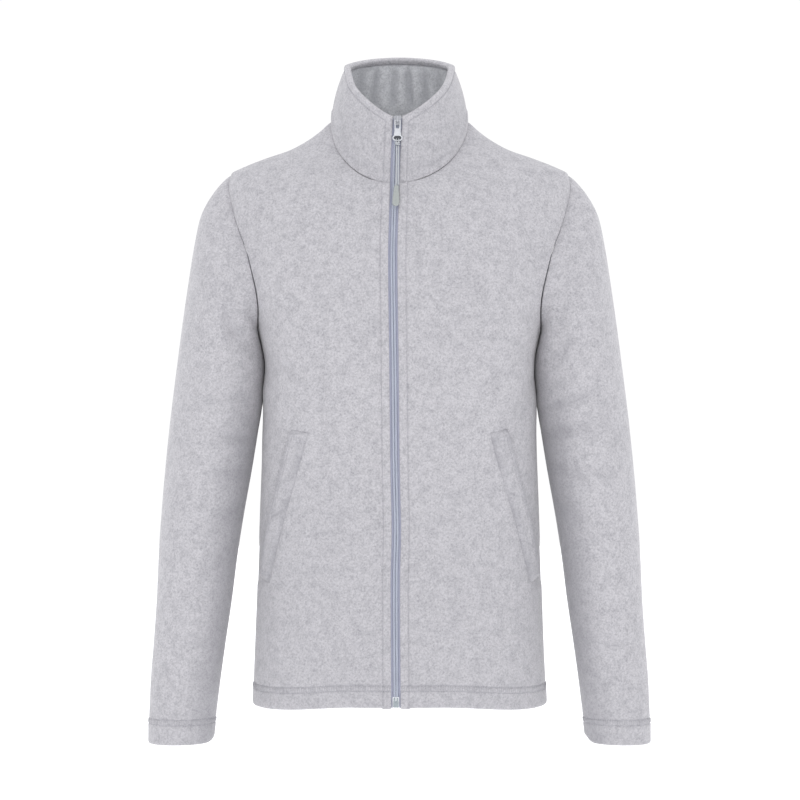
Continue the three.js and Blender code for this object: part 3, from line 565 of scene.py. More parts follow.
# Materials
def new_group(name, inputs, outputs):
    """A shader node group with named sockets; returns the tree and its two end nodes."""
    group = bpy.data.node_groups.new(name, "ShaderNodeTree")
    for label, kind, value in inputs:
        socket = group.interface.new_socket(label, in_out="INPUT", socket_type=kind)
        if value is not None:
            socket.default_value = value
    for label, kind in outputs:
        group.interface.new_socket(label, in_out="OUTPUT", socket_type=kind)
    return group, group.nodes.new("NodeGroupInput"), group.nodes.new("NodeGroupOutput")


def node(tree, kind, links=(), **settings):
    """A node with its settings; links are (input, value or socket) pairs."""
    made = tree.nodes.new(kind)
    for key, value in settings.items():
        setattr(made, key, value)
    for label, value in links:
        if isinstance(value, bpy.types.NodeSocket):
            tree.links.new(value, made.inputs[label])
        else:
            made.inputs[label].default_value = value
    return made


def scalar(tree, operation, *values, clamp=False):
    return node(tree, "ShaderNodeMath", list(enumerate(values)), operation=operation, use_clamp=clamp).outputs[0]


def blend_colours(tree, share, a, b, kind="MIX"):
    made = node(tree, "ShaderNodeMix", data_type="RGBA", blend_type=kind)
    for label, value in ((0, share), (6, a), (7, b)):
        if isinstance(value, bpy.types.NodeSocket):
            tree.links.new(value, made.inputs[label])
        else:
            made.inputs[label].default_value = value
    return made.outputs[2]


def srgb(red, green, blue):
    def linear(value):
        value /= 255
        return value / 12.92 if value <= 0.04045 else ((value + 0.055) / 1.055) ** 2.4
    return (linear(red), linear(green), linear(blue), 1)


COLOUR, FLOAT, VECTOR = "NodeSocketColor", "NodeSocketFloat", "NodeSocketVector"


def make_pile_group():
    """Brushed marl fleece: light and dark fibres in small tufts, with a faint cloudiness."""
    tree, inputs, outputs = new_group(
        "fleece_pile",
        [("Vector", VECTOR, None), ("Light Fibre", COLOUR, None), ("Middle", COLOUR, None),
         ("Dark Fibre", COLOUR, None), ("Tuft Scale", FLOAT, 420.0), ("Marl", FLOAT, 1.0)],
        [("Colour", COLOUR), ("Height", FLOAT)],
    )
    place = inputs.outputs["Vector"]
    scale = inputs.outputs["Tuft Scale"]
    marl = inputs.outputs["Marl"]
    fibre = node(tree, "ShaderNodeTexNoise", [
        ("Vector", place), ("Scale", scalar(tree, "MULTIPLY", scale, 2.3)), ("Detail", 3.0), ("Roughness", 0.65),
    ]).outputs["Fac"]
    tuft = node(tree, "ShaderNodeTexNoise", [
        ("Vector", place), ("Scale", scale), ("Detail", 2.0), ("Roughness", 0.6), ("Distortion", 0.6),
    ]).outputs["Fac"]
    cloud = node(tree, "ShaderNodeTexNoise", [
        ("Vector", place), ("Scale", scalar(tree, "MULTIPLY", scale, 0.22)), ("Detail", 2.0), ("Roughness", 0.5),
    ]).outputs["Fac"]
    lit = node(tree, "ShaderNodeMapRange", [(0, tuft), (1, 0.46), (2, 0.66)]).outputs[0]
    dark = node(tree, "ShaderNodeMapRange", [(0, tuft), (1, 0.5), (2, 0.3)]).outputs[0]
    speck = node(tree, "ShaderNodeMapRange", [(0, fibre), (1, 0.52), (2, 0.36)]).outputs[0]
    low_cloud = node(tree, "ShaderNodeMapRange", [(0, cloud), (1, 0.56), (2, 0.36)]).outputs[0]
    colour = blend_colours(
        tree, scalar(tree, "MULTIPLY", lit, marl), inputs.outputs["Middle"], inputs.outputs["Light Fibre"])
    shade = scalar(tree, "ADD", scalar(tree, "MULTIPLY", dark, 0.42), scalar(tree, "MULTIPLY", speck, 0.28))
    shade = scalar(tree, "ADD", shade, scalar(tree, "MULTIPLY", low_cloud, 0.22))
    colour = blend_colours(
        tree, scalar(tree, "MULTIPLY", shade, marl, clamp=True), colour, inputs.outputs["Dark Fibre"])
    tree.links.new(colour, outputs.inputs["Colour"])
    height = scalar(tree, "ADD", scalar(tree, "MULTIPLY", tuft, 0.75), scalar(tree, "MULTIPLY", fibre, 0.4))
    tree.links.new(height, outputs.inputs["Height"])
    return tree


def make_weave_group():
    """A tight woven rib: threads across a band, with fine crossings; the hollows between threads are painted darker, a
    painted shade.
    """
    tree, inputs, outputs = new_group(
        "woven_rib",
        [("Vector", VECTOR, None), ("Thread", COLOUR, None), ("Shaded Hollow", COLOUR, None),
         ("Threads Across", FLOAT, 1400.0), ("Threads Along", FLOAT, 900.0)],
        [("Colour", COLOUR), ("Height", FLOAT)],
    )
    place = node(tree, "ShaderNodeSeparateXYZ", [("Vector", inputs.outputs["Vector"])])
    across = scalar(tree, "SINE", scalar(
        tree, "MULTIPLY", place.outputs[0], scalar(tree, "MULTIPLY", inputs.outputs["Threads Across"], math.tau)))
    along = scalar(tree, "SINE", scalar(
        tree, "MULTIPLY", place.outputs[2], scalar(tree, "MULTIPLY", inputs.outputs["Threads Along"], math.tau)))
    weave = scalar(tree, "MULTIPLY", across, along)
    height = scalar(tree, "ADD", scalar(tree, "MULTIPLY", weave, 0.3), scalar(tree, "MULTIPLY", along, 0.2))
    height = scalar(tree, "ADD", height, 0.5)
    fuzz = node(tree, "ShaderNodeTexNoise", [
        ("Vector", inputs.outputs["Vector"]), ("Scale", 900.0), ("Detail", 2.0),
    ]).outputs["Fac"]
    share = scalar(tree, "ADD", scalar(tree, "MULTIPLY", height, 0.7), scalar(tree, "MULTIPLY", fuzz, 0.45), clamp=True)
    tree.links.new(blend_colours(
        tree, share, inputs.outputs["Shaded Hollow"], inputs.outputs["Thread"]), outputs.inputs["Colour"])
    tree.links.new(height, outputs.inputs["Height"])
    return tree


def make_wear_group():
    """Fine scuffs and cast grain on small hard pieces."""
    tree, inputs, outputs = new_group(
        "fine_scuffs",
        [("Vector", VECTOR, None), ("Base", COLOUR, None), ("Scuffed", COLOUR, None), ("Grain", FLOAT, 700.0),
         ("Amount", FLOAT, 0.5)],
        [("Colour", COLOUR), ("Roughness", FLOAT), ("Height", FLOAT)],
    )
    grain = node(tree, "ShaderNodeTexNoise", [
        ("Vector", inputs.outputs["Vector"]), ("Scale", inputs.outputs["Grain"]), ("Detail", 4.0), ("Roughness", 0.7),
    ]).outputs["Fac"]
    scuff = node(tree, "ShaderNodeMapRange", [(0, grain), (1, 0.48), (2, 0.72)]).outputs[0]
    share = scalar(tree, "MULTIPLY", scuff, inputs.outputs["Amount"])
    tree.links.new(blend_colours(
        tree, share, inputs.outputs["Base"], inputs.outputs["Scuffed"]), outputs.inputs["Colour"])
    tree.links.new(scalar(tree, "ADD", scalar(tree, "MULTIPLY", share, 0.3), 0.28), outputs.inputs["Roughness"])
    tree.links.new(grain, outputs.inputs["Height"])
    return tree


PILE, WEAVE, SCUFFS = make_pile_group(), make_weave_group(), make_wear_group()


def new_material(name, **constants):
    """A Principled material; constants go on the shader's own sockets."""
    material = bpy.data.materials.new(name)
    material.use_nodes = True
    tree = material.node_tree
    shader = tree.nodes["Principled BSDF"]
    for label, value in constants.items():
        shader.inputs[label.replace("_", " ")].default_value = value
    return material, tree, shader


def placed_group(tree, group, values):
    """A shader node group on the piece's own coordinates, with this material's values."""
    made = node(tree, "ShaderNodeGroup", node_tree=group)
    tree.links.new(node(tree, "ShaderNodeTexCoord").outputs["Object"], made.inputs["Vector"])
    for label, value in values.items():
        made.inputs[label].default_value = value
    return made


def bumped(tree, shader, height, strength, distance):
    bump = node(tree, "ShaderNodeBump", [("Height", height), ("Strength", strength), ("Distance", distance)])
    tree.links.new(bump.outputs[0], shader.inputs["Normal"])


def fleece_material(name, light, middle, dark, inside_painted_light, tuft_scale=430.0, marl=0.88):
    material, tree, shader = new_material(
        name, Roughness=0.95, Sheen_Weight=0.4, Sheen_Roughness=0.5, Specular_IOR_Level=0.2)
    pile = placed_group(tree, PILE, {
        "Light Fibre": light, "Middle": middle, "Dark Fibre": dark, "Tuft Scale": tuft_scale, "Marl": marl})
    seam = node(tree, "ShaderNodeAttribute", attribute_name="painted_shade").outputs["Fac"]
    inside = node(tree, "ShaderNodeAttribute", attribute_name="inside").outputs["Fac"]
    # Painted shade: the cloth's shade attribute darkens the pile towards the dark fibre colour where seams, creases and
    # gaps between parts lie in shade
    colour = blend_colours(tree, scalar(tree, "MULTIPLY", seam, 0.5, clamp=True), pile.outputs["Colour"], dark)
    # Painted light: on the inner faces the colour is multiplied by a factor above one, brightening the inside that lies
    # in shade
    lightened = blend_colours(tree, inside, colour, blend_colours(tree, 1.0, colour, inside_painted_light, "MULTIPLY"))
    tree.links.new(lightened, shader.inputs["Base Color"])
    bumped(tree, shader, pile.outputs["Height"], 0.55, 0.0011)
    return material


# Each fleece's last colour is painted light: a factor above one that brightens the cloth's inner faces
FLEECE = fleece_material(
    "brushed_marl_fleece", srgb(199, 197, 201), srgb(185, 183, 187), srgb(134, 133, 139), (1.3, 1.34, 1.32, 1))
FLEECE_BAND = fleece_material(
    "folded_marl_fleece", srgb(200, 198, 202), srgb(186, 184, 188), srgb(136, 135, 141), (1.3, 1.34, 1.32, 1), 440.0)


def woven_material(name, thread, shaded_hollow, across, along, roughness):
    material, tree, shader = new_material(name, Roughness=roughness, Sheen_Weight=0.1, Specular_IOR_Level=0.3)
    weave = placed_group(tree, WEAVE, {
        "Thread": thread, "Shaded Hollow": shaded_hollow, "Threads Across": across, "Threads Along": along})
    tree.links.new(weave.outputs["Colour"], shader.inputs["Base Color"])
    bumped(tree, shader, weave.outputs["Height"], 0.6, 0.0003)
    return material


# The second colour of each woven finish is painted shade in the hollows between its threads
TAPE = woven_material("woven_zip_tape", srgb(188, 190, 208), srgb(151, 153, 172), 1100.0, 1300.0, 0.8)
CORD = woven_material("braided_cord", srgb(198, 200, 203), srgb(150, 154, 159), 1400.0, 900.0, 0.7)
THREAD = woven_material("sewing_thread", srgb(196, 195, 201), srgb(156, 156, 164), 4000.0, 4000.0, 0.7)
# Painted shade: a darker copy of the sewing thread, for the cross threads lying low between the hem and cuff stitch
# rows
THREAD_IN_PAINTED_SHADE = woven_material("thread_painted_shade", srgb(170, 169, 175), srgb(140, 139, 146), 4000.0, 4000.0, 0.8)


def hard_material(name, base, scuffed, amount, grain, metallic=0.0, bump=0.15, **constants):
    material, tree, shader = new_material(name, Metallic=metallic, **constants)
    scuffs = placed_group(tree, SCUFFS, {"Base": base, "Scuffed": scuffed, "Amount": amount, "Grain": grain})
    tree.links.new(scuffs.outputs["Colour"], shader.inputs["Base Color"])
    tree.links.new(scuffs.outputs["Roughness"], shader.inputs["Roughness"])
    bumped(tree, shader, scuffs.outputs["Height"], bump, 0.0002)
    return material


COIL = hard_material("zip_coil_nylon", srgb(212, 217, 229), srgb(188, 194, 209), 0.4, 900.0)
METAL = hard_material("pale_zip_metal", srgb(212, 213, 217), srgb(186, 188, 194), 0.6, 700.0, 0.6, 0.1)
# Painted shade: a darker copy of the pale zip metal, for the slider and the pull's bar
METAL_IN_PAINTED_SHADE = hard_material("pale_metal_painted_shade", srgb(176, 177, 182), srgb(132, 134, 140), 0.7, 700.0, 0.6, 0.1)
# Painted shadow: a near-black metal for the plate set in the pull ring's hole
SHADOW_PLATE_METAL = hard_material("painted_shadow_plate", srgb(74, 75, 80), srgb(98, 99, 104), 0.5, 700.0, 0.3, 0.1)
BOX = hard_material("zip_box_plastic", srgb(154, 162, 167), srgb(128, 136, 142), 0.6, 600.0)
GRIP = hard_material("moulded_grip", srgb(160, 164, 162), srgb(140, 145, 144), 0.6, 500.0)


# Sewing, drawn by one tree: small rounded threads laid along a line
def make_laid_tree():
    tree = bpy.data.node_groups.new("laid_threads", "GeometryNodeTree")
    tree.interface.new_socket("Line", in_out="INPUT", socket_type="NodeSocketGeometry")
    for label, value in (("Pitch", 0.003), ("Along", 0.0024), ("Across", 0.0006), ("Deep", 0.0005)):
        tree.interface.new_socket(label, in_out="INPUT", socket_type="NodeSocketFloat").default_value = value
    tree.interface.new_socket("Finish", in_out="INPUT", socket_type="NodeSocketMaterial")
    tree.interface.new_socket("Threads", in_out="OUTPUT", socket_type="NodeSocketGeometry")
    inputs, outputs = tree.nodes.new("NodeGroupInput"), tree.nodes.new("NodeGroupOutput")
    line = node(tree, "GeometryNodeMeshToCurve", [("Mesh", inputs.outputs["Line"])]).outputs[0]
    spaced = node(
        tree, "GeometryNodeResampleCurve", [("Curve", line), ("Length", inputs.outputs["Pitch"])], mode="LENGTH",
    ).outputs[0]
    bead = node(tree, "GeometryNodeMeshUVSphere", [("Segments", 6), ("Rings", 4), ("Radius", 0.5)]).outputs[0]
    size = node(tree, "ShaderNodeCombineXYZ", [
        (0, inputs.outputs["Along"]), (1, inputs.outputs["Across"]), (2, inputs.outputs["Deep"]),
    ]).outputs[0]
    shaped = node(tree, "GeometryNodeTransform", [("Geometry", bead), ("Scale", size)]).outputs[0]
    tangent = tree.nodes.new("GeometryNodeInputTangent").outputs[0]
    out = node(tree, "GeometryNodeInputNamedAttribute", [("Name", "out")], data_type="FLOAT_VECTOR").outputs[0]
    turn = node(tree, "FunctionNodeAlignRotationToVector", [("Vector", tangent)], axis="X").outputs[0]
    turn = node(
        tree, "FunctionNodeAlignRotationToVector", [("Rotation", turn), ("Vector", out)], axis="Z", pivot_axis="X",
    ).outputs[0]
    laid = node(tree, "GeometryNodeInstanceOnPoints", [
        ("Points", spaced), ("Instance", shaped), ("Rotation", turn),
    ]).outputs[0]
    real = node(tree, "GeometryNodeRealizeInstances", [("Geometry", laid)]).outputs[0]
    soft = node(tree, "GeometryNodeSetShadeSmooth", [("Geometry", real)]).outputs[0]
    done = node(tree, "GeometryNodeSetMaterial", [
        ("Geometry", soft), ("Material", inputs.outputs["Finish"]),
    ]).outputs[0]
    tree.links.new(done, outputs.inputs[0])
    return tree


# The coil, drawn by another: one thread wound flat round a line
def make_coil_tree():
    tree = bpy.data.node_groups.new("wound_coil", "GeometryNodeTree")
    tree.interface.new_socket("Line", in_out="INPUT", socket_type="NodeSocketGeometry")
    for label, value in (("Pitch", 0.0015), ("Half Width", 0.0017), ("Half Depth", 0.0009), ("Thread Radius", 0.00034),
                         ("Start Turn", 0.0)):
        tree.interface.new_socket(label, in_out="INPUT", socket_type="NodeSocketFloat").default_value = value
    tree.interface.new_socket("Finish", in_out="INPUT", socket_type="NodeSocketMaterial")
    tree.interface.new_socket("Coil", in_out="OUTPUT", socket_type="NodeSocketGeometry")
    inputs, outputs = tree.nodes.new("NodeGroupInput"), tree.nodes.new("NodeGroupOutput")
    steps_a_turn = 10
    line = node(tree, "GeometryNodeMeshToCurve", [("Mesh", inputs.outputs["Line"])]).outputs[0]
    step = scalar(tree, "DIVIDE", inputs.outputs["Pitch"], float(steps_a_turn))
    fine = node(tree, "GeometryNodeResampleCurve", [("Curve", line), ("Length", step)], mode="LENGTH").outputs[0]
    index = tree.nodes.new("GeometryNodeInputIndex").outputs[0]
    turn = scalar(tree, "ADD", scalar(tree, "MULTIPLY", index, math.tau / steps_a_turn), inputs.outputs["Start Turn"])
    out = node(tree, "GeometryNodeInputNamedAttribute", [("Name", "out")], data_type="FLOAT_VECTOR").outputs[0]
    across = scalar(tree, "MULTIPLY", scalar(tree, "COSINE", turn), inputs.outputs["Half Width"])
    deep = scalar(tree, "MULTIPLY", scalar(tree, "SINE", turn), inputs.outputs["Half Depth"])
    sideways = node(tree, "ShaderNodeCombineXYZ", [(0, across)]).outputs[0]
    forward = node(tree, "ShaderNodeVectorMath", [(0, out)], operation="SCALE")
    tree.links.new(deep, forward.inputs["Scale"])
    shift = node(tree, "ShaderNodeVectorMath", [(0, sideways), (1, forward.outputs[0])], operation="ADD").outputs[0]
    wound = node(tree, "GeometryNodeSetPosition", [("Geometry", fine), ("Offset", shift)]).outputs[0]
    profile = node(tree, "GeometryNodeCurvePrimitiveCircle", [
        ("Resolution", 5), ("Radius", inputs.outputs["Thread Radius"]),
    ], mode="RADIUS").outputs[0]
    solid = node(tree, "GeometryNodeCurveToMesh", [
        ("Curve", wound), ("Profile Curve", profile), ("Fill Caps", True),
    ]).outputs[0]
    soft = node(tree, "GeometryNodeSetShadeSmooth", [("Geometry", solid)]).outputs[0]
    real = node(tree, "GeometryNodeRealizeInstances", [("Geometry", soft)]).outputs[0]
    done = node(tree, "GeometryNodeSetMaterial", [
        ("Geometry", real), ("Material", inputs.outputs["Finish"]),
    ]).outputs[0]
    tree.links.new(done, outputs.inputs[0])
    return tree


LAID_THREADS, WOUND_COIL = make_laid_tree(), make_coil_tree()


def run_tree(name, tree, runs, sizes, material, body="jacket"):
    """Draws a tree along lines; each run is (points, the way out of the cloth), in millimetres."""
    verts, outs, edges, base = [], [], [], 0
    for points, out in runs:
        verts.append(points)
        outs.append(np.broadcast_to(out, points.shape))
        edges.extend((base + i, base + i + 1) for i in range(len(points) - 1))
        base += len(points)
    mesh = bpy.data.meshes.new(name + "_line")
    mesh.from_pydata((np.vstack(verts) * MM).tolist(), edges, [])
    attribute = mesh.attributes.new("out", "FLOAT_VECTOR", "POINT")
    attribute.data.foreach_set("vector", np.vstack(outs).astype(np.float32).ravel())
    line = bpy.data.objects.new(name + "_line", mesh)
    scene.collection.objects.link(line)
    modifier = line.modifiers.new("drawn", "NODES")
    modifier.node_group = tree
    for item in tree.interface.items_tree:
        if item.in_out == "INPUT" and item.name in sizes:
            modifier[item.identifier] = sizes[item.name]
        if item.in_out == "INPUT" and item.name == "Finish":
            modifier[item.identifier] = material
    evaluated = line.evaluated_get(bpy.context.evaluated_depsgraph_get())
    drawn = bpy.data.meshes.new_from_object(evaluated)
    drawn.name = name
    bpy.data.objects.remove(line)
    piece = bpy.data.objects.new(name, drawn)
    scene.collection.objects.link(piece)
    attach(piece, body)
    paint(piece, material)
    return piece


def sewn(name, runs, pitch=3.0, along=2.5, across=0.62, deep=0.5, thread=THREAD):
    sizes = {"Pitch": pitch * MM, "Along": along * MM, "Across": across * MM, "Deep": deep * MM}
    return run_tree(name, LAID_THREADS, runs, sizes, thread)


def cloth_piece(name, outer, inner, shade, stands_for, material=FLEECE, slot="fleece", **more):
    """A painted sheet of cloth in the place of its CAD node."""
    piece = cloth_shell(name, outer, inner, np.clip(shade, 0, 1), **more)
    paint(piece, material)
    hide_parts(stands_for)
    return piece


def grid_normals(p, is_round=False):
    """Unit normals of a grid of points; their side is set by the caller."""
    if is_round:
        wide = np.concatenate([p[:, -2:], p, p[:, :2]], 1)
        around = np.gradient(wide, axis=1)[:, 2:-2]
    else:
        around = np.gradient(p, axis=1)
    return unit(np.cross(around, np.gradient(p, axis=0)))


def run_length(p, axis):
    """How far along each grid line a point lies, in millimetres."""
    step = np.linalg.norm(np.diff(p, axis=axis), axis=-1)
    zero = np.zeros_like(np.take(step, [0], axis=axis))
    return np.concatenate([zero, np.cumsum(step, axis=axis)], axis=axis)


def to_end_of(run):
    return run[-1:] - run


def round_edge(distance, wall):
    """How far each face draws in by a folded edge, so that the fold is round."""
    t = np.clip(distance / (wall / 2), 0, 1)
    return wall / 2 * (1 - np.sqrt(np.maximum(0, 1 - (1 - t) ** 2)))


def crease(x, z, start, end, width, depth, bow=0.0):
    """A soft trough between low ridges from start to end, in front view."""
    ax, az = start
    bx, bz = end
    length = math.hypot(bx - ax, bz - az)
    along = ((x - ax) * (bx - ax) + (z - az) * (bz - az)) / length ** 2
    off = ((x - ax) * (bz - az) - (z - az) * (bx - ax)) / length - bow * np.sin(np.pi * np.clip(along, 0, 1))
    fade = smooth(-0.12, 0.3, along) * (1 - smooth(0.62, 1.12, along))
    trough = -ridge(off, 0, width) + 0.5 * ridge(off, 1.9 * width, 1.3 * width) + 0.4 * ridge(off, -1.8 * width, width)
    return depth * fade * trough


def creases(x, z, table):
    return sum(crease(x, z, (a, b), (c, d), width, depth, bow) for a, b, c, d, width, depth, bow in table)


def hollow_shade(form, amount):
    """The soft shade that gathers in the troughs of the creases."""
    return amount * np.clip(-form / 2, 0, 1)


def soft_wave(x, z, seed, size, height):
    """A gentle unevenness made of a few waves, the same each run."""
    draw = np.random.default_rng(seed)
    total = 0
    for _ in range(6):
        turn, phase, scale = draw.uniform(0, math.tau), draw.uniform(0, math.tau), draw.uniform(0.7, 1.5)
        total = total + np.sin((x * math.cos(turn) + z * math.sin(turn)) * math.tau / (size * scale) + phase)
    return height * total / 6


# Creases, listed one by one: start x and z, end x and z, width, depth and bow, seen from the front
FRONT_CREASES = {
    1: [
        (168, -285, 112, -330, 8, 1.6, 4), (170, -300, 128, -372, 9, 1.5, -4), (165, -330, 120, -420, 10, 1.1, 5),
        (186, -225, 158, -150, 7, 1.5, 5), (176, -245, 132, -232, 8, 1.1, -3), (60, -120, 120, -70, 9, 0.8, 4),
        (160, -560, 100, -640, 12, 0.9, -4), (60, -500, 30, -640, 12, 0.6, 3),
    ],
    -1: [
        (169, -290, 108, -322, 9, 1.5, -3), (169, -306, 120, -380, 8, 1.6, 5), (166, -340, 132, -412, 11, 1.0, -4),
        (187, -222, 160, -142, 7, 1.6, 4), (174, -250, 126, -246, 8, 1.0, 3), (52, -124, 112, -66, 9, 0.9, -4),
        (162, -590, 112, -650, 12, 0.8, 4), (52, -520, 34, -650, 12, 0.6, -3),
    ],
}
BACK_CREASES = [
    (168, -290, 92, -352, 10, 2.2, 5), (-169, -284, -84, -338, 11, 2.4, -6), (166, -330, 60, -430, 12, 1.6, -6),
    (-167, -340, -70, -452, 11, 1.8, 7), (184, -220, 150, -120, 8, 2.0, 5), (-185, -214, -154, -110, 8, 2.1, -5),
    (20, -470, 96, -500, 12, 1.5, 4), (-30, -440, -110, -462, 12, 1.4, -4), (34, -160, 58, -300, 13, 1.4, 5),
    (-40, -150, -66, -310, 13, 1.5, -5), (120, -560, 60, -650, 14, 1.2, 4), (-110, -550, -64, -660, 13, 1.2, -4),
    (0, -30, 52, -44, 9, 1.0, 3), (-8, -52, -70, -60, 9, 0.9, -3),
]


def hem_relief(z, x, seed):
    """The folded band: a little proud, drawn in at its two rows of stitches."""
    band = 0.5 * smooth(HEM_Z, HEM_Z + 4, z) * (1 - smooth(HEM_STITCH_Z[1] - 3, HEM_STITCH_Z[1] + 2, z))
    rows = sum(ridge(z, row, 0.95) for row in HEM_STITCH_Z)
    pucker = soft_wave(x, z * 0.6, seed, 11, 0.32) * ridge(z, -684, 8)
    ripple = soft_wave(x, z * 0.2, seed + 1, 46, 0.9) * (1 - smooth(HEM_Z + 5, HEM_Z + 60, z))
    return band - 0.75 * rows + pucker + ripple


def hem_shade(z):
    return 0.42 * sum(ridge(z, row, 0.9) for row in HEM_STITCH_Z)


def hem_wall(z):
    """The cloth lies double in the hem and single above it."""
    return mix(FOLDED_CLOTH, CLOTH, smooth(HEM_Z + HEM_DEPTH, HEM_Z + HEM_DEPTH + 3, z))


def sheet_faces(base, normal, form, relief, rise, wall, inset):
    """A sheet's outer and inner face; relief is on the outer one alone and starts above the fold."""
    outer = base + normal * (form + relief * smooth(0, 2.4, rise + 0.4) - inset)[..., None]
    inner = base + normal * (form - wall + inset)[..., None]
    return outer, inner


def panel_rows():
    """Levels of a body panel, close together at the hem, the armpit and the neck seam."""
    hem = [0, .3, .8, 1.4, 2, 3, 4.5, 6.5, 9, 11.5, 14, 16.5, 17.9, 18.7, 19.3, 19.8, 20.3, 20.9, 21.7, 23, 24.4,
           25.2, 25.8, 26.3, 26.8, 27.4, 28.2, 29.5, 31.5]
    side_length = ARMPIT_Z - HEM_Z
    side = np.concatenate([hem, np.linspace(34, side_length, 128)]) * SIDE_SHARE / side_length
    top = np.concatenate([np.linspace(0, 0.955, 60)[1:], np.linspace(0.955, 1, 11)[1:]])
    return np.concatenate([side, mix(SIDE_SHARE, 1, top)])


def panel_grid(facing, stop_x, rows, columns):
    """A body panel between its side, its centre line, its foot and its top edges."""
    below = rows <= SIDE_SHARE
    low = body_at_y(facing * EDGE, mix(HEM_Z, ARMPIT_Z - EDGE, np.minimum(rows / SIDE_SHARE, 1)), facing)
    turn = np.pi * (1 - np.clip((rows - SIDE_SHARE) / (1 - SIDE_SHARE), 0, 1))
    hole = armhole_point(turn, facing, EDGE)
    flat = np.abs(hole[:, 1]) < EDGE
    hole[flat] = body_at_y(facing * EDGE, hole[flat, 2], facing)
    side = np.where(below[:, None], low, hole)
    centre_top = neck_point(1, facing, stop_x)[2]
    level = HEM_Z + (ARMPIT_Z - HEM_Z) * rows / SIDE_SHARE
    centre_z = mix(level, mix(HEM_Z, centre_top, rows), smooth(0.1, 0.6, rows))
    centre = body_at_x(stop_x, centre_z, facing)
    shoulder = body_at_y(facing * EDGE, mix(SHOULDER_TIP_Z + EDGE, 0, np.minimum(columns / 0.5, 1)), facing)
    neck_share = np.clip((columns - 0.5) / 0.5, 0, 1)
    top = np.where((columns <= 0.5)[:, None], shoulder, neck_point(neck_share, facing, stop_x))
    u, v = columns[None, :, None], rows[:, None, None]
    point = mix(side[:, None], centre[:, None], u) + v ** 4 * (top - mix(top[0], top[-1], columns[:, None]))[None]
    climb = np.broadcast_to(smooth(0.3, 0.75, rows)[:, None], point.shape[:2])
    moved = onto_body(point, facing, climb)
    inside = (u > 0) & (u < 1) & (v < 1)
    point = np.where(inside, moved, point)
    away = off_neck(neck_share, facing, stop_x)
    away[columns == 0.5, 1] = 0
    point[-1] += np.where((columns >= 0.5)[:, None], away * SEAM_GAP, 0)
    point[:, -1, 0] = stop_x
    return point, centre_z


STRIP_X = np.array([20.5, 19, 17.8, 17, 16.2, 15.7, 15.3, 14.9, 14.4, 13.6, 12.5, 11, 9.5, 8.4, 7.5, 6.8, 6.3, 6.05, 6])
STRIP_EDGE_X = 22.0


def front_grid():
    rows = panel_rows()
    columns = np.concatenate([[0, .004, .009, .015, .022, .03], np.linspace(.04, .5, 42), np.linspace(.5, 1, 46)[1:]])
    main, main_z = panel_grid(-1, STRIP_EDGE_X, rows, columns)
    top_z = -NECK_DROP * np.sqrt(1 - (STRIP_X / NECK_HALF_WIDTH) ** 2)
    edge_top = main_z[-1]
    z = HEM_Z + (top_z[None] - HEM_Z) * ((main_z[:, None] - HEM_Z) / (edge_top - HEM_Z))
    z = np.where(rows[:, None] < 0.1, main_z[:, None], z)
    strip = body_at_x(np.broadcast_to(STRIP_X, z.shape), z, -1)
    strip[-1, :, 2] -= SEAM_GAP
    return np.concatenate([main, strip], 1), rows


EDGE_OVER_ZIP = 0.5


def over_zip(face, from_zip):
    """Draws a cloth edge a little further over the zip tape."""
    face[..., 0] -= EDGE_OVER_ZIP * (1 - smooth(6, 10, from_zip))


def armhole_depth(z):
    """The armhole's seam is deep over the shoulder and soft below it."""
    return mix(0.45, 1, smooth(-190, -90, z))


def seam_roll(distance, depth=1.25, width=2.4):
    """How far cloth rolls down into a sewn seam."""
    return depth * np.exp(-((distance / width) ** 1.5))


BAG_CORNER_X, BAG_CORNER_Z = 84, -354.5


def bag_corner(x, z, width):
    """The two short lines of a pocket bag's corner: the level one and the upright one."""
    level = ridge(z, BAG_CORNER_Z, width) * smooth(70, 76, x) * (1 - smooth(93, 99, x))
    upright = ridge(x, BAG_CORNER_X, width) * smooth(-386, -372, z) * (1 - smooth(-357, -353, z))
    return level, upright


def pocket_form(x, z):
    """How the front lies round a pocket: sunk under the welt, full along the welt's sewn edge."""
    from_edge = x - welt_x(np.clip(z, WELT_FOOT_Z, WELT_TOP_Z))
    ends = smooth(WELT_FOOT_Z - 6, WELT_FOOT_Z + 4, z) * (1 - smooth(WELT_TOP_Z - 1, WELT_TOP_Z + 7, z))
    bed = smooth(0.5, 3.5, from_edge) * (1 - smooth(23, 29, from_edge))
    swell = (1 - smooth(-5.5, 0.8, from_edge)) * np.exp(np.minimum(from_edge, 0) / 15)
    return (-1.4 * bed + 1.6 * swell) * ends


def pocket_shade(x, z):
    """The soft shade that a welt throws beside its mouth, and the faint line of its bag's corner."""
    from_edge = x - welt_x(np.clip(z, WELT_FOOT_Z, WELT_TOP_Z))
    along = smooth(WELT_FOOT_Z - 2, WELT_FOOT_Z + 12, z) * (1 - smooth(WELT_TOP_Z - 12, WELT_TOP_Z, z))
    mouth = 0.4 * smooth(18.5, 20, from_edge) * (1 - smooth(20.5, 26, from_edge))
    level, upright = bag_corner(x, z, 1.2)
    return mouth * along + 0.3 * (level + 0.8 * upright)


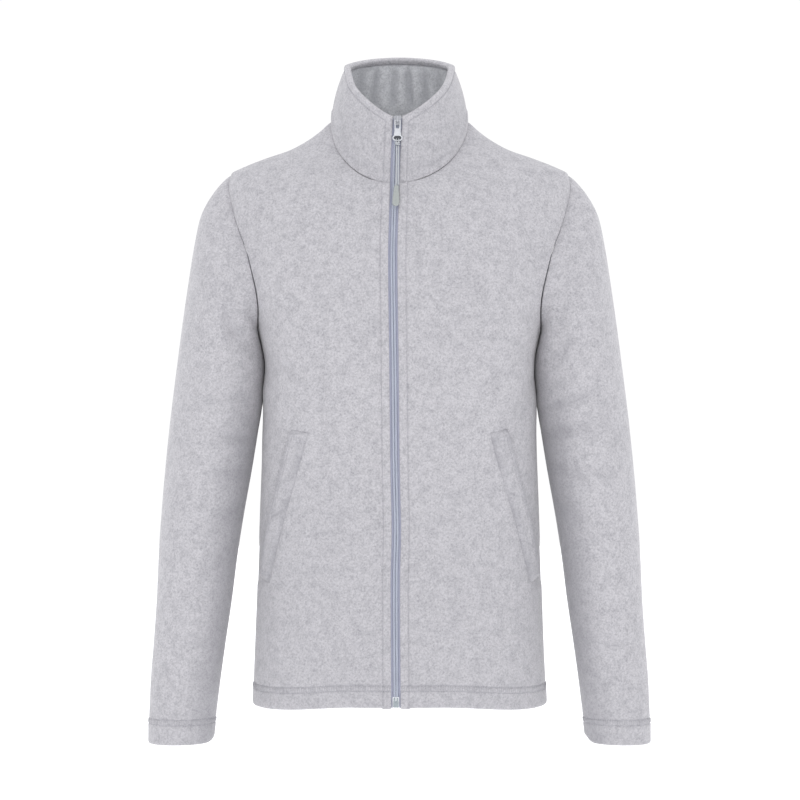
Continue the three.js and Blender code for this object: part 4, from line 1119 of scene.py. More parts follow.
def make_front(side):
    base, rows = front_grid()
    x, z = base[..., 0], base[..., 2]
    base = dipped(base)
    normal = body_normal(base)
    to_side = run_length(base, 1)
    to_top = to_end_of(run_length(base, 0))
    seed = 11 if side > 0 else 21
    form = creases(x, z, FRONT_CREASES[side]) * smooth(18, 40, x) * smooth(2, 16, to_side)
    form = form + soft_wave(x, z, seed + 40, 130, 1.1) * smooth(16, 70, x) * smooth(0, 40, to_side)
    form = form * smooth(0, 25, to_top)
    zip_zone = 1 - smooth(ZIP_STITCH_X - 1.5, ZIP_STITCH_X + 0.6, x)
    relief = hem_relief(z, x, seed) + pocket_form(x, z)
    relief = relief - seam_roll(to_side, 0.85) * armhole_depth(z) - seam_roll(to_top, 0.2, 1.5)
    relief = relief + 0.45 * zip_zone - 0.6 * ridge(x, ZIP_STITCH_X, 1.0)
    relief = relief + soft_wave(z, x * 0.3, seed + 20, 24, 0.25) * ridge(x, 12, 7)
    level, upright = bag_corner(x, z, 2.0)
    relief = relief - (0.5 * level + 0.45 * upright)
    wall = hem_wall(z)
    foot = round_edge(z - HEM_Z, FOLDED_CLOTH)
    edge = np.minimum(round_edge(x - ZIP_HALF_OPENING, CLOTH), wall / 2 - 0.05)
    outer, inner = sheet_faces(base, normal, form, relief, z - HEM_Z, wall, np.maximum(foot, edge))
    over_zip(outer, x)
    over_zip(inner, x)
    corner_drop = 1.7 * ridge(x, 11, 5.5) * (1 - smooth(HEM_Z, HEM_Z + 14, z))
    outer[..., 2] -= corner_drop
    inner[..., 2] -= corner_drop
    shade = 0.2 * np.exp(-to_side / 1.8) + 0.08 * np.exp(-to_top / 1.2)
    shade = shade + 0.22 * ridge(x, ZIP_STITCH_X, 1.0) + pocket_shade(x, z)
    shade = shade + 0.12 * (1 - smooth(-520, -340, z)) + 0.12 * smooth(-90, -30, z) + hollow_shade(form, 0.2)
    shade = shade + hem_shade(z)
    outer, inner, out = on_side(side, outer, inner, normal)
    outer, inner = wander(outer), wander(inner)
    name = of_side("front", side)
    piece = cloth_piece("cloth_" + name, outer, inner, shade, name)
    return {"piece": piece, "outer": outer, "inner": inner, "out": out, "zip_column": base.shape[1] - len(STRIP_X)}


def make_back():
    rows = panel_rows()
    columns = np.concatenate([[0, .004, .009, .015, .022, .03], np.linspace(.04, .5, 34), np.linspace(.5, 1, 42)[1:]])
    flat, _ = panel_grid(1, 0.0, rows, columns)
    level = doubled(flat)[..., 2]
    half = dipped(flat)
    base, normal = both_halves(half), both_halves(body_normal(half))
    x, z = base[..., 0], level
    across = run_length(base, 1)
    to_side = np.minimum(across, across[:, -1:] - across)
    to_top = to_end_of(run_length(base, 0))
    relief = hem_relief(z, x, 71) - seam_roll(to_side) - seam_roll(to_top, 1.1, 2.0)
    form = creases(x, z, BACK_CREASES) * smooth(4, 24, to_side) * smooth(3, 20, to_top)
    form = form + soft_wave(x, z, 81, 140, 1.6) * smooth(0, 40, to_side) * smooth(0, 30, to_top)
    foot = round_edge(z - HEM_Z, FOLDED_CLOTH)
    outer, inner = sheet_faces(base, normal, form, relief, z - HEM_Z, hem_wall(z), foot)
    shade = 0.5 * np.exp(-to_side / 1.8) + 0.4 * np.exp(-to_top / 1.4) + hollow_shade(form, 0.4)
    shade = shade + hem_shade(z)
    piece = cloth_piece("cloth_back", outer, inner, shade, "back")
    return {"piece": piece, "outer": outer, "inner": inner, "out": normal}


# Sleeves
def sleeve_oval(row, turn):
    outer_x, outer_z, inner_x, inner_z, half, y = (column(row) for column in sleeve_column)
    along = np.cos(turn)
    return points_of(
        mix(inner_x, outer_x, (1 + along) / 2), y - half * np.sin(turn), mix(inner_z, outer_z, (1 + along) / 2))


def sleeve_point(row, turn):
    row, turn = np.broadcast_arrays(np.asarray(row, float), np.asarray(turn, float))
    facing = np.where(np.sin(turn) >= 0, -1, 1)
    bend = np.arccos(np.clip(np.cos(turn), -1, 1))
    seam = armhole_point(bend, facing, -EDGE)
    seam[..., 0] += 0.6 * smooth(0.6, 2.4, bend)
    fade = 1 - smooth(0, MORPH_ROWS, row)
    return sleeve_oval(row, turn) + (seam - sleeve_oval(0 * row, turn)) * fade[..., None]


SLEEVE_CREASES = {
    1: [
        (176, -352, 232, -330, 8, 2.2, 3), (178, -384, 240, -380, 9, 2.4, -4), (184, -420, 236, -436, 9, 1.8, 4),
        (190, -462, 232, -492, 10, 1.3, 3), (180, -300, 222, -250, 8, 1.8, 4), (206, -540, 250, -570, 11, 1.0, -3),
        (286, -400, 250, -372, 9, 1.0, 3), (226, -690, 262, -672, 8, 0.9, 3), (196, -290, 212, -200, 8, 1.4, -4),
    ],
    -1: [
        (175, -346, 228, -338, 9, 2.1, -3), (177, -392, 236, -372, 8, 2.3, 4), (184, -430, 242, -428, 10, 1.9, 4),
        (191, -470, 228, -506, 10, 1.3, -3), (181, -296, 218, -240, 8, 1.9, -4), (204, -530, 246, -548, 11, 1.0, 3),
        (285, -412, 248, -392, 9, 1.0, -3), (224, -676, 258, -690, 8, 0.9, -3), (196, -286, 208, -192, 8, 1.5, 4),
    ],
}
SLEEVE_BACK_CREASES = [
    (176, -340, 250, -352, 9, 2.6, 4), (180, -380, 262, -404, 10, 2.8, -5), (184, -430, 262, -456, 10, 2.2, 5),
    (190, -480, 246, -520, 10, 1.6, 4), (250, -180, 232, -300, 11, 1.4, -5), (210, -560, 264, -600, 11, 1.3, 4),
    (186, -290, 226, -214, 9, 2.0, 4), (286, -430, 244, -398, 9, 1.6, 4),
]
SLEEVE_COLUMNS = 112
CUFF_CORNER_LIFT = {1: 6.3, -1: 3.0}


def sleeve_rows():
    """Places along the sleeve: close together by the armhole and at the cuff's stitches."""
    fine = np.linspace(0, LAST_SLEEVE_ROW, 3000)
    front = sleeve_point(fine, math.pi / 2)
    length = run_length(front[:, None], 0)[:, 0]
    total = length[-1]
    start = [0, .5, 1.1, 1.9, 2.8, 4, 5.5, 7.5]
    low, high = CUFF_STITCH_RISE
    cuff = [0, .3, .8, 1.4, 2, 3, 5, 8, 12, 16, 20, 22, 22.9, 23.5, low, 24.5, 25.1, 26, 27.4, 28.6, 29.4, 30, high,
            31, 31.6, 32.4, 34, 36]
    wanted = np.concatenate([start, np.linspace(10, total - 39, 176), total - np.array(cuff[::-1])])
    return np.interp(wanted, length, fine), wanted, total


def make_sleeve(side):
    rows, distance, total = sleeve_rows()
    turns = np.arange(SLEEVE_COLUMNS) * math.tau / SLEEVE_COLUMNS
    row, turn = np.meshgrid(rows, turns, indexing="ij")
    base = sleeve_point(row, turn)
    base[-1, :] = sleeve_point(LAST_SLEEVE_ROW, turns)
    normal = grid_normals(base, True)
    away = base - sleeve_point(row, turn + math.pi)
    wrong = (normal * away).sum(-1) < 0
    normal = np.where(wrong[..., None], -normal, normal)
    bend = np.arccos(np.clip(np.cos(turns), -1, 1))
    seam_normal = body_normal(base[0])
    normal[0] = unit(mix(normal[1], seam_normal, (1 - smooth(0.7, 2.2, bend))[:, None]))
    x, z = base[..., 0], base[..., 2]
    from_seam = run_length(base, 0)
    to_edge = to_end_of(from_seam)
    front, back = smooth(0.02, 0.5, np.sin(turn)), smooth(0.02, 0.5, -np.sin(turn))
    clear = smooth(3, 26, from_seam) * smooth(36, 60, to_edge)
    form = creases(x, z, SLEEVE_CREASES[side]) * front * clear
    form = form + creases(x, z, SLEEVE_BACK_CREASES) * back * clear
    form = form + soft_wave(turn * 40, z, 91 if side > 0 else 93, 120, 1.1) * clear * np.sin(turn) ** 2
    relief = -seam_roll(from_seam, 0.85, 2.4) * armhole_depth(z)
    rise = total - distance[:, None]
    relief = relief + 0.5 * smooth(0, 4, rise) * (1 - smooth(28, 33, rise))
    relief = relief - 0.75 * sum(ridge(rise, row_rise, 0.95) for row_rise in CUFF_STITCH_RISE)
    pucker = np.sin(turn * 23 + 1.3) * 0.22 + np.sin(turn * 37) * 0.16
    relief = relief + pucker * ridge(rise, 27, 8)
    wall = mix(FOLDED_CLOTH, CLOTH, smooth(28, 31, rise))
    foot = round_edge(rise, FOLDED_CLOTH)
    outer, inner = sheet_faces(base, normal, form, relief, rise, wall, foot)
    lift = CUFF_CORNER_LIFT[side] * ridge(turn, math.pi, 0.42) * (1 - smooth(0, 13, rise)) ** 1.6
    lean = 1.3 * smooth(0.3, 0.9, -np.cos(turn)) * smooth(-356, -342, z) * (1 - smooth(-268, -252, z))
    for face in (outer, inner):
        face[..., 2] += lift
        face[..., 0] += 0.3 * lift - lean
    facing_body = smooth(0.05, 0.95, -np.cos(turn)) * smooth(60, 170, from_seam)
    shade = 0.85 * facing_body + 0.2 * np.exp(-from_seam / 1.8) + 0.12 * (1 - smooth(30, 90, rise))
    shade = shade + 0.25 * sum(ridge(rise, place, 0.9) for place in CUFF_STITCH_RISE) + hollow_shade(form, 0.3)
    outer, inner, out = on_side(side, outer, inner, normal)
    name = of_side("sleeve", side)
    piece = cloth_piece("cloth_" + name, outer, inner, shade, name, is_round=True)
    return {"piece": piece, "outer": outer, "out": out, "rise": total - distance}


# The collar's columns: close together by the zip, by the shoulder seams and at the inside creases
INSIDE_CREASES = [
    (-31, 5, 2.0), (-7, 4.2, 2.4), (12, 4.6, 2.6), (33, 5.5, 1.8), (-50, 6, 1.4), (52, 6, 1.3),
]


def collar_rows():
    return np.concatenate([
        [0, .006, .014, .024, .036, .05, .07, .09, .11], np.linspace(.13, .26, 10), np.linspace(.28, .84, 24),
        [.855, .868, .876, .884, .892, .9, .91, .922, .935, .945, .955, .964, .972, .98, .987, .993, .997, 1],
    ])


def make_collar():
    heights = collar_rows()
    start = share_at_x(ZIP_HALF_OPENING, heights)
    edge = np.array([0, .0015, .004, .008, .014, .02, .026, .032, .036, .04, .045, .052, .06, .07])
    columns = np.concatenate([edge, np.linspace(.08, 1, 84)])
    share = mix(start[:, None], 1, columns[None])
    height = np.broadcast_to(heights[:, None], share.shape)
    face = collar_point(share, height)
    normal = collar_normal(share, height)
    normal[0] = body_normal(face[0])
    half, out = both_halves(face), both_halves(normal)
    up = run_length(face, 0)
    to_rim = to_end_of(up)
    x = np.abs(face[..., 0])
    front_side = face[..., 1] < 0
    from_zip = np.where(front_side, x, 60)
    zip_zone = 1 - smooth(ZIP_STITCH_X - 2.4, ZIP_STITCH_X - 0.4, from_zip)
    stitch_x = ZIP_STITCH_X - 1.2
    band = 1.3 * (1 - smooth(BAND_HEIGHT - 3, BAND_HEIGHT + 2, up)) * smooth(16, 30, x) * front_side
    rim_row = ridge(to_rim, RIM_STITCH_DROP, 1.1) * smooth(stitch_x - 1, stitch_x + 3, from_zip)
    zip_row = ridge(from_zip, stitch_x, 1.0) * smooth(RIM_STITCH_DROP - 2, RIM_STITCH_DROP + 2, to_rim)
    rim_puff = 1.7 * ridge(to_rim, RIM_STITCH_DROP * 0.42, 4.0) * smooth(6, 26, from_zip)
    relief = 0.4 * zip_zone + band + rim_puff - 0.75 * rim_row - 0.7 * zip_row * (up > 4)
    relief = relief - seam_roll(up, 0.4, 1.8)
    wave = soft_wave(share * 420, height * 60, 101, 60, 0.7)
    relief = relief + wave * smooth(20, 60, from_zip) * smooth(0, .2, height)
    full = mix(CLOTH, COLLAR_WALL, smooth(0, 0.2, height))
    rim = round_edge(to_rim, COLLAR_WALL)
    side_edge = np.minimum(round_edge(from_zip - ZIP_HALF_OPENING, 2.4), full / 2 - 0.1)
    inset = np.minimum(np.maximum(rim, side_edge), full / 2 - 0.02)
    relief = relief * smooth(0, 3, to_rim)
    outer = face + normal * (relief - inset)[..., None]
    inner = face + normal * (-full + inset)[..., None]
    outer[:, 0, 0] = ZIP_HALF_OPENING
    inner[:, 0, 0] = ZIP_HALF_OPENING
    outer[:, -1, 0] = 0
    inner[:, -1, 0] = 0
    over_zip(outer, from_zip)
    over_zip(inner, from_zip)
    outer, inner = both_halves(outer), both_halves(inner)
    both_x, both_y = half[..., 0], half[..., 1]
    tall = np.broadcast_to(heights[:, None], both_x.shape)
    fold = sum(depth * ridge(both_x + 6 * (tall - 0.6) * math.copysign(1, place), place, width)
               for place, width, depth in INSIDE_CREASES)
    ridge_between = sum(0.5 * depth * ridge(both_x, place + 9, width) for place, width, depth in INSIDE_CREASES)
    room = smooth(0, 20, both_y) * smooth(0.05, 0.3, tall) * (1 - smooth(0.7, 0.88, tall))
    lining_roll = doubled(rim_puff) * 1.5
    lining_row = doubled(rim_row)
    inner = inner + out * ((0.9 * fold - 2.2 * ridge_between) * room - lining_roll + 1.1 * lining_row)[..., None]
    beside_slider = 1.6 * ridge(from_zip, 6.2, 1.5) * ridge(to_rim, 8, 6)
    neck_line = np.clip(1 + soft_wave(share * 420, 0 * height, 141, 70, 2.0), 0.1, 1.6)
    shade = 0.16 * np.exp(-up / 1.3) * neck_line + 0.35 * rim_row + 0.4 * zip_row + 0.7 * beside_slider
    stand = smooth(8, 12, up) * (1 - smooth(2, 12, RIM_STITCH_DROP + 8 - to_rim))
    shade = shade + 0.2 * stand + 0.22 * ridge(up, 12.5, 3.0) * front_side
    shade = doubled(shade)
    outer, inner = wander(outer), wander(inner)
    rim_from = doubled(to_rim)
    under_row = np.exp(-np.maximum(rim_from - RIM_STITCH_DROP, 0) / 6) * (rim_from > RIM_STITCH_DROP - 1)
    lining_shade = 0.5 * lining_row + 0.6 * under_row + 1.2 * np.clip(fold / 2.0, 0, 1) * room * smooth(5, 30, both_y)
    # Painted light brightens the collar's inner face below the rim's stitch row
    piece = cloth_piece("cloth_collar", outer, inner, shade, "collar", inner_shade=np.clip(lining_shade, 0, 1),
                        inner_tint=smooth(RIM_STITCH_DROP - 2, RIM_STITCH_DROP + 3, rim_from))
    return {"piece": piece, "outer": outer, "inner": inner, "out": out, "to_rim": rim_from,
            "from_zip": doubled(from_zip), "up": doubled(up), "stitch_x": stitch_x}


# Welts, slanted down towards the side seams, each a folded band
WELT_LEVELS, WELT_STEPS = 96, 26
WELT_STITCHES = (2.2, 5.6)
WELT_WRINKLES = {1: [(0.42, 0.1, 0.6, 0.7), (0.74, 0.3, 0.9, 0.5)], -1: [(0.54, 0.1, 0.8, 1.0), (0.3, 0.2, 0.6, 0.4)]}


def along_ring(x, z, distances):
    """Points of the body's front at measured distances round the ring from x towards the side."""
    share = min(1.0, abs(x) / float(half_width(z)))
    angles = np.linspace(math.acos(share ** (RING_POWER / 2)), 0.002, 900)
    points = body_at_angle(angles, np.full_like(angles, z), -1)
    length = run_length(points[:, None], 0)[:, 0]
    return body_at_angle(np.interp(distances, length, angles), np.full(len(distances), z), -1)


def make_welt(side):
    ends = np.array([0, .004, .01, .018])
    levels = np.concatenate([ends, np.linspace(.03, .97, WELT_LEVELS), 1 - ends[::-1]])
    steps = np.concatenate([[0, .02, .05, .09], np.linspace(.13, .87, WELT_STEPS), [.91, .95, .98, 1]])
    base = np.zeros((len(levels), len(steps), 3))
    for i, level in enumerate(levels):
        z = mix(WELT_TOP_Z, WELT_FOOT_Z, level)
        x = float(welt_x(z))
        for k, step in enumerate(steps):
            base[i, k] = along_ring(x, z + WELT_SLANT * step, [WELT_WIDTH * step])[0]
    normal = body_normal(base)
    level, step = np.meshgrid(levels, steps, indexing="ij")
    length = (WELT_TOP_Z - WELT_FOOT_Z) * 1.04
    to_end = np.minimum(level, 1 - level) * length
    to_edge = np.minimum(step, 1 - step) * WELT_WIDTH
    wave = soft_wave(level * length, step * WELT_WIDTH, 111 if side > 0 else 112, 60, 0.5)
    from_edge = (1 - step) * WELT_WIDTH
    inset = np.minimum(round_edge(from_edge, CLOTH), CLOTH / 2 - 0.04)
    puff = 0.9 * smooth(0.1, 0.7, step) + wave * smooth(0, 8, to_end)
    puff = puff - 0.45 * sum(ridge(from_edge, row, 0.9) for row in WELT_STITCHES)
    sewn_down = smooth(0, 0.34, step) * smooth(0, 5, to_end)
    for place, low_step, high_step, depth in WELT_WRINKLES[side]:
        slant = level - place - 0.1 * (step - 0.4)
        puff = puff - depth * ridge(slant * length, 0, 2.4) * smooth(low_step - .2, low_step + .15, step) * (
            1 - smooth(high_step - .15, high_step + .2, step))
        puff = puff + 0.5 * depth * ridge(slant * length, -5, 3.5) * smooth(low_step - .2, low_step + .15, step)
    outer = base + normal * (mix(0.1, WELT_LIFT + CLOTH + puff, sewn_down) - inset * sewn_down)[..., None]
    inner = base + normal * (mix(-0.7, WELT_LIFT, sewn_down) + inset * sewn_down)[..., None]
    outer, inner, out = on_side(side, outer, inner, normal)
    outer, inner = wander(outer), wander(inner)
    uneven = 1 + soft_wave(level * length, 0 * step, 131 if side > 0 else 132, 38, 0.9)
    shade = mix(0.75, 1.1, level) * np.exp(-step * WELT_WIDTH / 8.5) * uneven + 0.4 * ridge(step * WELT_WIDTH, 0.6, 0.9)
    shade = shade + 0.95 * np.exp(-from_edge / 1.4) + 0.3 * sum(ridge(from_edge, row, 0.8) for row in WELT_STITCHES)
    shade = shade + 1.1 * np.exp(-to_end / 1.4) * mix(0.35, 1, smooth(0.3, 0.9, step))
    for place, low_step, high_step, depth in WELT_WRINKLES[side]:
        slant = (level - place - 0.1 * (step - 0.4)) * length
        shade = shade + 1.1 * depth * ridge(slant, 0, 1.8) * smooth(low_step - .1, low_step + .1, step) * (
            1 - smooth(high_step - .1, high_step + .1, step))
        shade = shade + 0.3 * depth * ridge(slant, -9, 6) * (1 - smooth(0.2, 0.7, step))
    name = of_side("welt", side)
    piece = cloth_piece("cloth_" + name, outer, inner, shade, name, FLEECE_BAND)
    return {"piece": piece, "outer": outer, "out": out}


fronts = {side: make_front(side) for side in (1, -1)}
back = make_back()
sleeves = {side: make_sleeve(side) for side in (1, -1)}
collar = make_collar()
welts = {side: make_welt(side) for side in (1, -1)}


# Zip tapes: woven strips behind the cloth's edges, slipped into the hem's fold and the collar
def zip_levels():
    """Levels up the front for the zip's long pieces, from the hem to the neck seam."""
    return np.linspace(HEM_Z + 0.4, -NECK_DROP, 150)


def make_tape(side):
    z = zip_levels()
    steps = np.array([0, .03, .08, .16, .3, .5, .75, 1])
    reach = 2.6 + (TAPE_UNDER_CLOTH - 0.3) * smooth(HEM_Z + 29, HEM_Z + 33, z) * (1 - smooth(-92, -86, z))
    x = TAPE_INNER_X + reach[:, None] * steps[None]
    body = body_at_x(x, np.broadcast_to(z[:, None], x.shape), -1)
    body_out = body_normal(body)
    heights = np.linspace(0.02, 0.965, 30)
    share = share_at_x(ZIP_HALF_OPENING, heights)
    stand = collar_point(share, heights)
    stand_out = collar_normal(share, heights)
    stand_out[:, 0] = 0
    stand_out = unit(stand_out)
    upper = np.repeat(stand[:, None], len(steps), 1)
    upper[..., 0] = TAPE_INNER_X + 2.6 * steps[None]
    base = np.concatenate([body, upper])
    out = np.concatenate([body_out, np.repeat(stand_out[:, None], len(steps), 1)])
    selvedge = 0.14 * ridge(np.broadcast_to(steps, base.shape[:2]), 0.04, 0.06)
    near = base + out * (-CLOTH - SEAM_GAP + selvedge)[..., None]
    far = base + out * (-CLOTH - SEAM_GAP - TAPE_WALL)
    near, far = on_side(side, near, far)
    name = of_side("zip_tape", side)
    return cloth_piece("woven_" + name, wander(near), wander(far), 0.0, name, TAPE, "zip_tape")


def zip_line(x, lift, top):
    """A line up the zip, x from its middle and lift behind the cloth's face, and its way out."""
    low = np.linspace(ZIP_FOOT_Z, -NECK_DROP, 260)
    body = body_at_x(np.zeros_like(low), low, -1)
    body_out = body_normal(body)
    heights = np.linspace(0.01, 1, 60)
    stand = collar_point(0 * heights, heights)
    stand_out = collar_normal(0 * heights + 0.01, heights)
    stand_out[:, 0] = 0
    out = np.concatenate([body_out, unit(stand_out)])
    line = np.concatenate([body, stand])
    keep = line[:, 2] < top
    line, out = line[keep] - lift * out[keep], out[keep]
    return wander(line) + np.array([x, 0, 0]), out


CHAIN_TOP = SLIDER_TOP_Z - SLIDER_LENGTH * 0.45
COIL_PITCH, COIL_THREAD, COIL_HALF_WIDTH = 1.2, 0.36, 1.08
COIL_MIDDLE, COIL_HALF_DEPTH = 1.58, 0.95


def make_coil():
    """Two meshing coils sewn to a narrow woven backing."""
    lift = (CHAIN_FRONT + CHAIN_BACK) / 2 - 0.05
    sides = []
    for side in (1, -1):
        line, out = zip_line(side * COIL_MIDDLE, lift, CHAIN_TOP)
        sizes = {"Pitch": COIL_PITCH * MM, "Half Width": -side * COIL_HALF_WIDTH * MM,
                 "Half Depth": COIL_HALF_DEPTH * MM, "Thread Radius": COIL_THREAD * MM}
        sides.append(run_tree(of_side("coil", side), WOUND_COIL, [(line, out)], sizes, COIL))
    for piece in sides:
        outward(piece)
    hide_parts("zip_chain")
    parts = []
    for side in (1, -1):
        line, out = zip_line(side * 1.75, CHAIN_BACK - 0.2, CHAIN_TOP)
        across = side * np.array([-1.7, -0.8, 0, 0.8, 2.15])
        face = line[:, None] + across[None, :, None] * np.array([1, 0, 0])
        back_face = face - out[:, None] * 0.35
        points = np.concatenate([face.reshape(-1, 3), back_face.reshape(-1, 3)])
        parts.append((points, shell_faces(len(line), len(across), False)))
    points, faces = joined(parts)
    hard_piece("coil_backing", points, faces, TAPE, body="jacket")


# Small hard pieces
def hard_piece(name, points, faces, material, stands_for=None, body="pull"):
    piece = outward(add_mesh(name, points, faces, body))
    paint(piece, material)
    if stands_for:
        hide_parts(stands_for)
    return piece


def soft_box(low, high, bevel, segments=3):
    """A box with rounded edges, in millimetres."""
    low, high = np.array(low, float), np.array(high, float)
    mesh = bmesh.new()
    bmesh.ops.create_cube(mesh, size=1)
    for vert in mesh.verts:
        vert.co = (low + high) / 2 + (high - low) * np.array(vert.co)
    bmesh.ops.bevel(
        mesh, geom=mesh.edges[:], offset=bevel, segments=segments, profile=0.5, affect="EDGES", clamp_overlap=True)
    mesh.verts.ensure_lookup_table()
    points = np.array([vert.co[:] for vert in mesh.verts])
    faces = [tuple(vert.index for vert in face.verts) for face in mesh.faces]
    mesh.free()
    return points, faces


def slab(outline, front, back, bevel):
    """A plate with a rounded rim; the outline is in X and Z, its faces look along Y."""
    outline = np.array(outline, float)
    ahead, behind = np.roll(outline, -1, 0), np.roll(outline, 1, 0)
    along = unit(ahead - behind)
    area = (outline[:, 0] * ahead[:, 1] - ahead[:, 0] * outline[:, 1]).sum()
    inwards = np.stack([-along[:, 1], along[:, 0]], 1) * (1 if area > 0 else -1)
    levels = []
    for k in range(4):
        turn = k / 3 * math.pi / 2
        levels.append((bevel * (1 - math.sin(turn)), front + bevel * (1 - math.cos(turn))))
    levels += [(inset, front + back - depth) for inset, depth in reversed(levels)]
    rings = [np.stack([*(outline + inwards * inset).T, np.full(len(outline), depth)], 1) for inset, depth in levels]
    points = np.vstack(rings)[:, [0, 2, 1]]
    return points, ring_faces(len(levels), len(outline)) + end_faces(len(points), len(outline))


def loop_tube(points, radius, sides=12, squash=1.0, out=(0, 1, 0)):
    """A closed ring of wire."""
    points = np.array(points, float)
    along = unit(np.roll(points, -1, 0) - np.roll(points, 1, 0))
    verts = (points[:, None] + rings_round(along, sides, squash, out) * radius).reshape(-1, 3)
    return verts, ring_faces(len(points), sides, True)


def rounded_outline(corners, radius, steps=5):
    """A closed outline with its corners rounded off."""
    corners, out = np.array(corners, float), []
    for i, corner in enumerate(corners):
        before, after = corners[i - 1], corners[(i + 1) % len(corners)]
        to_before, to_after = unit(before - corner), unit(after - corner)
        reach = min(radius, np.linalg.norm(before - corner) * 0.45, np.linalg.norm(after - corner) * 0.45)
        start, end = corner + to_before * reach, corner + to_after * reach
        for k in range(steps + 1):
            t = k / steps
            out.append((1 - t) ** 2 * start + 2 * t * (1 - t) * corner + t * t * end)
    return np.array(out)


def make_slider():
    half, length = SLIDER_WIDTH / 2, SLIDER_LENGTH
    outline = rounded_outline([
        (-half * 0.8, 0), (half * 0.8, 0), (half, -1.4), (half, -length * 0.45), (half * 0.84, -length),
        (-half * 0.84, -length), (-half, -length * 0.45), (-half, -1.4),
    ], 1.3)
    back_plate = CHAIN_BACK + 2 * SEAM_GAP
    parts = [slab(outline, PLATE_FRONT, CHAIN_FRONT - SEAM_GAP, 0.35)]
    parts.append(slab(outline, back_plate, back_plate + PLATE_WALL, 0.35))
    raised = rounded_outline([
        (-half * 0.5, -1.2), (half * 0.5, -1.2), (half * 0.55, -length * 0.5), (half * 0.42, -length + 1),
        (-half * 0.42, -length + 1), (-half * 0.55, -length * 0.5),
    ], 1.0)
    parts.append(slab(raised, PLATE_FRONT - 0.28, PLATE_FRONT + 0.3, 0.22))
    for side in (1, -1):
        for depth in (CHAIN_FRONT - SEAM_GAP + 0.2, back_plate + 0.1):
            flange = [(side * (half - 0.35), depth, z) for z in np.linspace(-2.2, -length + 0.6, 9)]
            parts.append(tube(flange, 0.42, 10, out=(1, 0, 0)))
    parts.append(soft_box([-1.2, PLATE_FRONT + 0.3, -4.2], [1.2, back_plate + 1.0, -0.8], 0.3))
    turns = np.linspace(0, math.pi, 25)
    top, foot = -0.8 - BRIDGE_WALL / 2, BRIDGE_BOTTOM + BRIDGE_WALL / 2
    rise = BRIDGE_ROOM + BRIDGE_WALL / 2
    arch = [(0, PLATE_FRONT + 0.35 - (rise + 0.35) * math.sin(turn) ** 0.75,
             mix(foot, top, (1 + math.cos(turn)) / 2)) for turn in turns]
    parts.append(tube(arch, BRIDGE_WALL / 2, 14, squash=2.5, out=(1, 0, 0)))
    points, faces = joined(parts)
    hard_piece("slider", on_collar(points), faces, METAL_IN_PAINTED_SHADE, "zip_slider", "jacket")


SHADOW_PLATE_HALF_WIDTH, SHADOW_PLATE_HALF_HEIGHT = 4.6, 2.5


def make_pull():
    """The tab hangs from the slider's bridge: a bar, two prongs, a solid end and an oval ring."""
    half, wall, inner = TAB_WIDTH / 2, TAB_WALL / 2, TAB_SLOT / 2
    prong_end = -9.0
    fork = rounded_outline([
        (-half + 0.2, 0.9), (-inner + 0.1, 0.9), (-inner, -0.8), (-inner + 0.15, prong_end), (inner - 0.15, prong_end),
        (inner, -0.8), (inner - 0.1, 0.9), (half - 0.2, 0.9), (half + 0.1, -0.4), (half + 0.1, -13),
        (half + 0.9, -TAB_LENGTH + 0.6), (half + 0.2, -TAB_LENGTH - 0.9), (-half - 0.2, -TAB_LENGTH - 0.9), (-half - 0.9, -TAB_LENGTH + 0.6),
        (-half - 0.1, -13), (-half - 0.1, -0.4),
    ], 0.7, 4)
    parts = [slab(fork, -wall, wall, 0.3)]
    panel = rounded_outline([
        (-half + 1.1, prong_end - 1.4), (half - 1.1, prong_end - 1.4), (half - 1.4, -TAB_LENGTH + 2),
        (-half + 1.4, -TAB_LENGTH + 2),
    ], 0.8, 4)
    parts.append(slab(panel, -wall - 0.16, -wall + 0.3, 0.14))
    turns = np.arange(48) * math.tau / 48
    wire = RING_WIRE / 2
    middle = -TAB_LENGTH - RING_HEIGHT / 2 + RING_WIRE * 0.6
    ring = [((RING_WIDTH / 2 - wire) * math.cos(t), 0, middle + (RING_HEIGHT / 2 - wire) * math.sin(t)) for t in turns]
    parts.append(loop_tube(ring, wire, 14, TAB_WALL / RING_WIRE))
    points, faces = joined(parts)
    hard_piece("pull_tab", points + HINGE, faces, METAL, "zip_pull")
    # The bar takes the darker copy of the pull's metal: painted shade
    points, faces = tube([(x, 0, 0) for x in np.linspace(-half + 0.3, half - 0.3, 12)], wall * 0.8, 14, out=(0, 0, 1))
    hard_piece("pull_bar", points + HINGE, faces, METAL_IN_PAINTED_SHADE)
    # Painted shadow: a dark plate set back in the ring's hole stands for the shade seen through it
    hole = [(SHADOW_PLATE_HALF_WIDTH * math.cos(t), middle + 0.3 + SHADOW_PLATE_HALF_HEIGHT * math.sin(t)) for t in turns]
    points, faces = slab(hole, 0.45, 0.85, 0.1)
    hard_piece("painted_shadow_ring_plate", points + HINGE, faces, SHADOW_PLATE_METAL)


